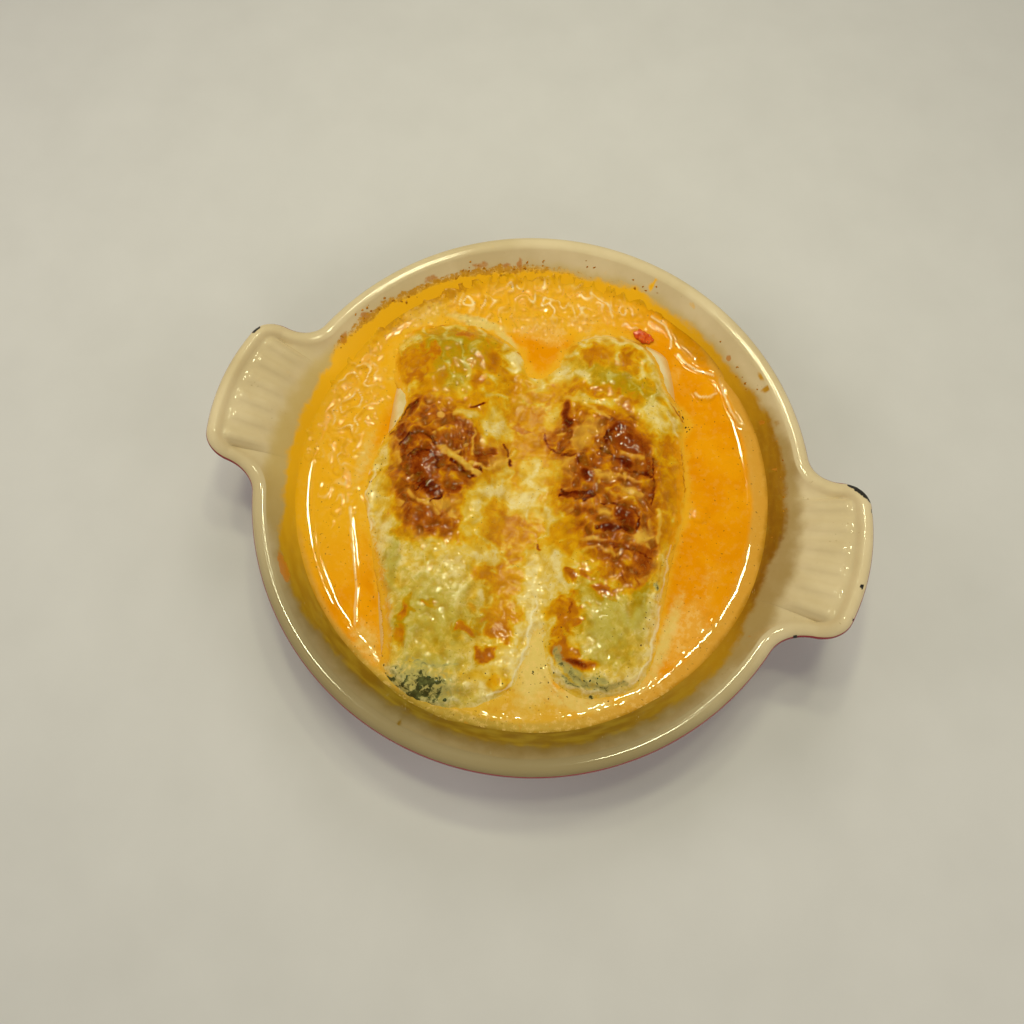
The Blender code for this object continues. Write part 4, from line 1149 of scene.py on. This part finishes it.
creamFolds = [
    # the same for glossy folds of pale sauce along the edge
    (0.9, 0.6, (14, -41), (14.8, -50), (16, -54.4), (14.6, -63), (14, -70), (7, -76.5)),
    (0.9, 0.6, (56, -30), (57.4, -46), (56.2, -53), (52.5, -58)),
    (0.8, 0.5, (-59, 4), (-61, -8), (-59, -20)), (0.8, 0.5, (54.6, -8), (55.4, -18), (55.6, -27)),
    (0.7, 0.5, (-57, -12), (-56, -22), (-50, -33)), (0.8, 0.4, (-2, -80), (-10, -84), (-18, -84)),
    (0.8, 0.4, (24, -58), (30, -63.5), (38, -65.5), (46, -63)),
]


def dropOn(x, y, rng):
    # a random place on the grid: its coordinates, row and column
    cx, cy = rng.uniform(x[0, 0], x[0, -1]), rng.uniform(y[0, 0], y[-1, 0])
    return cx, cy, int((cy - y[0, 0]) / cheese["cell"]), int((cx - x[0, 0]) / cheese["cell"])


def cellsAround(row, column, reach):
    reach = int(reach / cheese["cell"]) + 1
    return slice(max(0, row - reach), row + reach), slice(max(0, column - reach), column + reach)


def layOver(part, height, shade, relief, tone):
    over = height > relief[part]
    relief[part] = np.where(over, height, relief[part])
    tone[part] = np.where(over, shade, tone[part])


def layStrands(x, y, inside, relief, tone):
    # grated strands melted over each other: adds their relief, and how pale or dark each one is
    rng = np.random.default_rng(7)
    made = 0
    while made < cheese["strands"]:
        cx, cy, row, column = dropOn(x, y, rng)
        if inside[row, column] < 1:
            continue
        made += 1
        length, width = rng.uniform(*cheese["strandLength"]) / 2, rng.uniform(*cheese["strandWidth"])
        angle, bend = rng.uniform(0, 180), rng.normal(0, 0.04)
        shade, lift, high = rng.normal(0, 1), rng.uniform(0, 0.5), rng.uniform(0.4, 1.0)
        part = cellsAround(row, column, length + width + 2)
        along, across = turned(x[part], y[part], (cx, cy), angle)
        across = across - bend * along**2 + 0.3 * np.sin(along * 0.9 + shade * 5)
        out = np.hypot(np.maximum(np.abs(along) - length, 0), across) / width
        height = (lift + high * np.sqrt(np.clip(1 - out**2, 0, 1))) * (out < 1)
        layOver(part, height, shade, relief, tone)


def layBlisters(x, y, crust, relief, tone):
    # small bubbles burst or set in the browned parts
    rng = np.random.default_rng(8)
    made = 0
    while made < cheese["blisters"]:
        cx, cy, row, column = dropOn(x, y, rng)
        if rng.uniform(0, 1) > crust[row, column]:
            continue
        made += 1
        size = rng.uniform(*cheese["blisterSize"])
        part = cellsAround(row, column, size * 1.6 + 2)
        along, across = turned(x[part], y[part], (cx, cy), rng.uniform(0, 180))
        out = np.hypot(along / (size * rng.uniform(1, 1.5)), across / size)
        out = out + 0.22 * lumps(x[part], y[part], 2.4, 85)
        height = (0.3 + 0.42 * size * np.sqrt(np.clip(1 - out**2, 0, 1))) * (out < 1)
        layOver(part, height, rng.uniform(-1.8, 0.2), relief, tone)


def cheeseFields():
    cell = cheese["cell"]
    x, y = np.meshgrid(np.arange(*cheese["acrossX"], cell), np.arange(*cheese["acrossY"], cell))
    inside = insideDistance(x, y, closedCurve(cheese["edge"], 6))
    inside = inside + 0.8 * rough(x, y, 6.0, 71) + 0.35 * rough(x, y, 1.8, 72)
    base = softMax(ground(x, y), sauce["level"], 5.0)
    base = mixed(base, blurred(base, 1.5 / cell), 0.8)
    base = base + (0.5 * lumps(x, y, 14.0, 86) + 0.4 * lumps(x, y, 6.5, 114)) * softStep(2, 8, inside)

    # where it is browned, burnt, pale, green or leafy
    warpX, warpY = x + 1.8 * lumps(x, y, 5.0, 73), y + 1.8 * lumps(x, y, 5.0, 74)
    nearX, nearY = x + 0.6 * lumps(x, y, 2.2, 76), y + 0.6 * lumps(x, y, 2.2, 77)
    depth = np.full_like(x, -99.0)
    for outline in cheese["crusts"]:
        depth = np.maximum(depth, insideDistance(warpX, warpY, closedCurve(outline, 6)))
    frayed = 2.2 * rough(x, y, 4.0, 75) + 1.2 * rough(x, y, 1.6, 115)
    crust = softStep(-2.0, 3.2, depth + frayed)
    halo = softStep(-8.0, 0.5, depth + 2.6 * frayed)
    bake = patches(warpX, warpY, browning, 0.9, 75, 0.55, 2.6)
    wider = [(cx, cy, 1.15 * a, 1.15 * b, *rest) for cx, cy, a, b, *rest in darkSpots]
    dark = blurred(patches(nearX, nearY, wider, 0.5, 78, 0.55, 2.6), 0.5 / cell)
    dark = np.maximum(dark, strokes(nearX, nearY, darkLines, 0.5, 87, 0.6, 1.6))
    pale = patches(warpX, warpY, paleSpots, 0.7, 79, 0.7, 3.0)
    green = patches(warpX, warpY, greenSpots, 0.6, 80, 0.8)
    leaf = patches(nearX, nearY, leafSpots, 0.5, 88, 0.5, 1.6)
    leaf = np.maximum(leaf, strokes(nearX, nearY, leafLines, 0.5, 89))

    # its relief: strands, blisters, domes, folds, shreds and leaf
    relief, tone = np.zeros_like(x), np.zeros_like(x)
    layStrands(x, y, inside, relief, tone)
    melted = blurred(relief, 1.0 / cell)
    relief = mixed(melted * 0.55, relief, 0.05 + 0.25 * crust)
    layBlisters(x, y, crust, relief, tone)
    relief = mixed(relief, blurred(relief, 0.5 / cell), 0.5)
    swell = domes(x, y, swellings, 0.22, 90)
    swell = mixed(swell, blurred(swell, 0.5 / cell), 0.7)
    sheen = softStep(0.2, 0.9, swell)
    relief = mixed(relief, relief * 0.12, sheen) + swell
    folds = 1 - np.clip(np.abs(lumps(warpX, warpY, 5.0, 81)) * 2.4, 0, 1)
    relief = relief + crust * (0.7 * folds**2) * (1 - 0.8 * sheen) + (1 - crust) * 0.12 * folds
    shreds = strokes(nearX, nearY, palePieces, 0.35, 92, 0.9)
    relief = relief + shreds + strokes(nearX, nearY, creamFolds, 0.2, 119, 0.9)
    # painted highlights: pale lines along the crests of the cream folds
    crests = [(0.4, height, *points) for _, height, *points in creamFolds]
    glaze = strokes(warpX, warpY, crests, 0.8, 51)
    flakeTone, flakeSlope = flakes(x, y, 3.4, 110)
    broken = flakeTone * 0.25 + flakeSlope * 0.7
    relief = relief + blurred(broken, 0.4 / cell) * (0.08 + 0.5 * crust) * (1 - 0.9 * sheen)
    fan = patches(x, y, [cheese["fan"]], 0.3, 93)
    acrossFan = turned(x, y, cheese["fan"], cheese["fan"][4])[0]
    stripes = np.sin((acrossFan + 0.4 * lumps(x, y, 3.0, 94)) * 4.2)
    relief = relief + 0.28 * fan * stripes
    bands = strokes(x, y, leafLines[:3], 0.3, 95, 0.9) * 1.2
    relief = relief - 0.7 * bands + 0.9 * leaf * rough(nearX, nearY, 2.4, 96)
    relief = relief + 0.44 * lumps(nearX, nearY, 3.2, 83) + 0.25 * lumps(x, y, 6.5, 84)
    tone = blurred(tone, 0.5 / cell)

    # how far each place is baked
    height = np.clip(relief - blurred(relief, 2.0 / cell), -0.8, 0.8)
    mottle = 1.2 * rough(warpX, warpY, 5.0, 97) + 0.6 * rough(nearX, nearY, 2.2, 98)
    far = softStep(-36, -18, y + 5 * lumps(x, y, 9.0, 112))
    gold = mixed(cheese["goldFar"], cheese["goldNear"], far)
    gold = gold + 0.10 * rough(x, y, 11.0, 111)
    ribbons = 1 - softStep(0.05, 0.3, np.abs(lumps(warpX, warpY, 9.0, 120)))
    gold = mixed(gold, 0.05, ribbons * softStep(-50, -25, y))
    level = np.maximum(gold, bake)
    level = mixed(level, cheese["bare"], pale * (1 - 0.8 * crust))
    level = np.maximum(level, 0.42 * halo * (1 - 0.75 * pale))
    amber = cheese["amber"] + 0.16 * rough(x, y, 6.0, 113)
    level = mixed(level, np.maximum(level, amber), crust)
    level = level + (0.07 + 0.09 * crust) * mottle * (1 - 0.7 * sheen)
    level = level + 0.03 * tone - (0.10 + 0.16 * crust) * height
    level = level + crust * 0.03 * flakeTone + fan * 0.16 * stripes
    level = level + 0.10 * crust * softStep(0.3, 1.6, swell)
    dark = 1.06 * dark * (1 + 0.08 * flakeTone + 0.12 * rough(x, y, 1.8, 99))
    level = np.maximum(level, dark)
    light = softStep(0.45, 1.1, tone) * crust * (1 - sheen)
    paleCrust = np.maximum(np.maximum(pale * crust, 0.8 * light) * (1 - softStep(0.3, 0.6, dark)),
                           softStep(0.3, 0.9, shreds))
    level = mixed(level, cheese["shreds"] + 0.1 * mottle, paleCrust * 0.85)

    # sauce soaked into its flanks or lapping over its edge
    nearEnd = softStep(-44, -54, y) * softStep(-30, -22, x)
    orange = np.zeros_like(x)
    for strength, *spots in orangeFlanks:
        along = lineDistance(warpX, warpY, spots)
        orange = np.maximum(orange, strength * (1 - softStep(1.5, 6.5, along)))
    orange = orange * (1 - 0.8 * pale) * (1 - softStep(0.4, 0.6, dark)) * (1 - nearEnd)
    lapped = (1 - softStep(-0.5, 3.4, inside + 1.8 * rough(x, y, 3.0, 117))) * (1 - 0.7 * nearEnd)

    edge = np.clip(inside / cheese["edgeWidth"], 0, 1)
    thick = cheese["thickness"] * softStep(0.0, 1.0, edge)
    top = base + thick + relief * softStep(0.0, 4.0, inside)
    top = top - 0.6 * (1 - softStep(-0.9, 0.3, inside))
    # painted shade: darker in the hollows of the relief, away from the edge
    cavity = np.clip(-height * 1.6, 0, 1) * softStep(1.0, 4.0, inside)
    satin = patches(x, y, satinSpots, 0.3, 122, 0.6)
    masks = {"bake": level, "green": green, "satin": satin, "cavity": cavity, "shred": paleCrust,
             "orange": orange, "leaf": leaf, "lapped": lapped, "glaze": glaze}
    return x, y, top, inside, masks


def makeCheese():
    x, y, top, inside, masks = cheeseFields()
    low = cheese["low"] + 2.4 * softStep(76, 86, np.hypot(x, y))
    piece = buildSheet("meltedCheese", x, y, top, inside > -0.9, low, cheesePaint(), masks)
    return place(piece, "cheese", "cheese_topping")


def cheesePaint():
    paint = Paint("brownedCheese", specularIorLevel=0.4)
    fine, tiny = paint.noise(2.2, 4.0, 0.55, 1.2), paint.noise(0.6, 3.0, 0.6)
    fine, tiny = paint.between(fine, 0.3, 0.7), paint.between(tiny, 0.3, 0.7)
    level = paint.mask("bake") + (fine - 0.5) * 0.08 + (tiny - 0.5) * 0.03
    colour = paint.ramp(level, [
        (0.0, (0.78, 0.62, 0.25)), (0.10, (0.73, 0.50, 0.08)), (0.20, (0.71, 0.42, 0.02)),
        (0.30, (0.69, 0.34, 0.005)), (0.40, (0.62, 0.265, 0.003)), (0.50, (0.53, 0.185, 0.003)),
        (0.60, (0.44, 0.125, 0.005)), (0.70, (0.33, 0.075, 0.004)), (0.80, (0.23, 0.040, 0.003)),
        (0.90, (0.16, 0.020, 0.001)), (1.0, (0.09, 0.008, 0.001))])
    pale = 1 - paint.between(level, 0.30, 0.48)
    bare = paint.between(paint.mask("bake"), 0.04, 0.22)
    leafGreen = paint.blend((0.46, 0.37, 0.05), (0.37, 0.235, 0.003), bare)
    colour = paint.blend(colour, leafGreen, paint.frayed("green", fine, 0.3, 0.1, 1.0) * pale * 0.85)
    colour = paint.blend(colour, (0.70, 0.43, 0.09), paint.mask("shred") * 0.5)
    colour = paint.layers(colour, [("orange", fine, 0.4, 0.15, 0.9, (0.80, 0.33, 0.003), 0.9)])
    # painted shade in the hollows
    colour = paint.blend(colour, (0.32, 0.13, 0.004), paint.mask("cavity") * 0.4)
    colour = paint.layers(colour, [("lapped", fine, 0.5, 0.1, 0.9, (0.80, 0.42, 0.02), 0.9)])
    # painted highlight along the fold crests
    colour = paint.blend(colour, (0.92, 0.86, 0.60), paint.mask("glaze") * 0.8)
    veins = paint.between(paint.noise(2.6, 4.0, 0.6), 0.4, 0.7)
    darkGreen = paint.blend((0.018, 0.026, 0.008), (0.09, 0.10, 0.028), veins)
    colour = paint.layers(colour, [("leaf", fine, 0.3, 0.05, 0.5, (0.40, 0.36, 0.12), 0.85),
                                   ("leaf", fine, 0.6, 0.5, 0.8, darkGreen, 0.92)])
    pepper = paint.between(paint.noise(0.9, 1.0), 0.72, 0.77)
    colour = paint.blend(colour, (0.09, 0.06, 0.012), pepper * pale * 0.7)
    roughness = 0.04 + tiny * 0.03 + paint.mask("satin") * 0.38
    return paint.finish(colour, roughness, paint.bump(paint.noise(3.2, 1.0, 0.4), 0.2, 0.5))


# Filling at the near ends

filling = {"rings": 60, "around": 72, "start": 0.05, "aside": 3.0, "under": 3.2,
           "lowest": 8.0, "overWall": 2.0}


def makeFilling(side, roll):
    rings = []
    turn = np.linspace(0, 2 * math.pi, filling["around"], endpoint=False)
    for s in np.linspace(filling["start"], 1.0, filling["rings"]):
        half = alongRoll(roll["halfWidth"], s) - filling["aside"]
        half = half * (1 - softStep(0.94, 1.06, s) * 0.5)
        top = alongRoll(roll["top"], s) - filling["under"]
        x, y = placeOn(roll, s, half * np.cos(turn))
        low = np.maximum(filling["lowest"], wallHeight(np.hypot(x, y)) + filling["overWall"])
        z = rollMiddle + (top - rollMiddle) * np.sin(turn)
        rings.append(np.stack([x, y, np.maximum(z, np.minimum(low, top - 0.5))], -1))
    paint = Paint("filling" + side.title())
    fine = paint.noise(1.8, 4.0, 0.7)
    colour = paint.blend((0.05, 0.075, 0.02), (0.40, 0.42, 0.20), paint.between(fine, 0.35, 0.6))
    paint.finish(colour, 0.3 + fine * 0.2, paint.bump(fine, 0.5))
    piece = buildRings("filling" + side.title(), np.stack(rings)[:, ::-1], paint.material)
    return place(piece, "filling", "filling_" + side)


tomato = {"at": (25.0, 71.0, 28.5), "half": (4.0, 2.3, 1.1), "turn": -18, "rings": 36, "around": 72}


def makeTomato():
    paint = Paint("tomatoPiece")
    fine = paint.noise(1.2, 3.0)
    streaks = paint.noise(2.6, 3.0, 0.6, 1.5)
    colour = paint.blend((0.50, 0.035, 0.005), (0.72, 0.13, 0.012), paint.between(fine, 0.3, 0.7))
    colour = paint.blend(colour, (0.80, 0.38, 0.05), paint.between(streaks, 0.55, 0.75) * 0.7)
    paint.finish(colour, fine * 0.05 + 0.05, paint.bump(streaks, 0.3))
    turn, tilt = np.meshgrid(np.linspace(0, 2 * math.pi, tomato["around"], endpoint=False),
                             np.linspace(math.pi * 0.02, math.pi * 0.98, tomato["rings"]))
    unit = np.stack([np.sin(tilt) * np.cos(turn), np.sin(tilt) * np.sin(turn), np.cos(tilt)], -1)
    shape = np.sign(unit) * np.abs(unit) ** 0.7 * np.array(tomato["half"])
    shape = shape * (1 + 0.28 * lumps(shape[..., 0:1] * 2, shape[..., 1:2] * 2, 4.0, 91))
    shape[..., 2] += 0.5 * lumps(shape[..., 0], shape[..., 1], 2.6, 121)
    angle = math.radians(tomato["turn"])
    x = shape[..., 0] * math.cos(angle) - shape[..., 1] * math.sin(angle)
    y = shape[..., 0] * math.sin(angle) + shape[..., 1] * math.cos(angle)
    points = np.stack([x, y, shape[..., 2]], -1) + tomato["at"]
    piece = buildRings("tomatoPiece", points, paint.material)
    return place(piece, "tomato", "tomato_piece")


bits = {
    # places of loose bits: centre, half length, half width, turn, how many, size range;
    # then their colour
    "pepper": {"at": [(20, -54, 14, 5, 80, 16, 0.15, 0.35), (30, -68, 26, 4, 6, 12, 0.15, 0.35),
                      (-56, -8, 16, 3, 96, 16, 0.2, 0.45), (54, -34, 24, 2, 92, 12, 0.2, 0.4),
                      (-10, 70, 40, 12, 10, 16, 0.15, 0.3), (49, 41, 5, 2, -50, 7, 0.3, 0.7)],
               "slot": "filling", "colours": ((0.035, 0.022, 0.008), (0.11, 0.07, 0.02))},
    "baked": {"at": [(-66, 61, 26, 1.6, 43, 22, 0.3, 0.8), (-34, 83, 14, 1.2, 22, 14, 0.3, 0.8),
                     (-84, 36, 8, 1.2, 66, 8, 0.3, 0.7), (86, 28, 14, 1.2, 108, 8, 0.25, 0.5),
                     (60, 68, 16, 1.6, 132, 10, 0.25, 0.6), (10, 90, 16, 1.2, -6, 10, 0.3, 0.8)],
              "slot": "cheese", "colours": ((0.30, 0.09, 0.003), (0.62, 0.28, 0.01))},
    "herb": {"at": [(-14, -80, 9, 4, 10, 9, 0.3, 0.8), (-24, -78, 5, 2, 10, 4, 0.3, 0.7),
                    (34, -61, 14, 3, 4, 8, 0.2, 0.5)],
             "slot": "filling", "colours": ((0.020, 0.036, 0.014), (0.10, 0.13, 0.04))},
}


def makeBits():
    # small flat flakes lying on whatever is under them
    rng = np.random.default_rng(131)
    ball = bmesh.new()
    bmesh.ops.create_icosphere(ball, subdivisions=1, radius=1.0)
    shape = np.array([v.co[:] for v in ball.verts])
    faces = np.array([[v.index for v in f.verts] for f in ball.faces])
    ball.free()
    scene = bpy.context.scene
    depsgraph = bpy.context.evaluated_depsgraph_get()
    down = Vector((0, 0, -1))
    for name, bit in bits.items():
        points = []
        for cx, cy, long, wide, turn, count, small, large in bit["at"]:
            for _ in range(count):
                along, across = rng.uniform(-1, 1, 2)
                angle = math.radians(turn)
                x = cx + along * long * math.cos(angle) - across * wide * math.sin(angle)
                y = cy + along * long * math.sin(angle) + across * wide * math.cos(angle)
                size = rng.uniform(small, large)
                sides = np.array([1.0, rng.uniform(0.4, 0.9), rng.uniform(0.15, 0.35)])
                flake = (shape + rng.normal(0, 0.16, shape.shape)) * (size * sides)
                spot, normal = scene.ray_cast(depsgraph, Vector((x, y, 90)) * mm, down)[1:3]
                upright = normal.to_track_quat("Z", "Y").to_matrix()
                facing = upright @ Matrix.Rotation(rng.uniform(0, 3), 3, "Z")
                points.append(flake @ np.array(facing).T + np.array(spot) / mm)
        paint = Paint(name + "Bits", specularIorLevel=0.4)
        fine = paint.noise(1.0, 3.0)
        colour = paint.blend(*bit["colours"], paint.between(fine, 0.3, 0.7))
        paint.finish(colour, fine * 0.1 + 0.2, paint.bump(fine, 0.1))
        corners = faces + np.arange(len(points))[:, None, None] * len(shape)
        points = np.concatenate(points)
        piece = buildMesh(name + "Bits", points, [], paint.material, None, corners)
        place(piece, bit["slot"])


makeDish()
print("dish ready")
makeSauce()
print("sauce ready")
for side, roll in rolls.items():
    makeRoll(side, roll)
    makeFilling(side, roll)
print("rolls ready")
makeCheese()
makeTomato()
print("cheese ready")
makeBits()
print("loose bits ready")
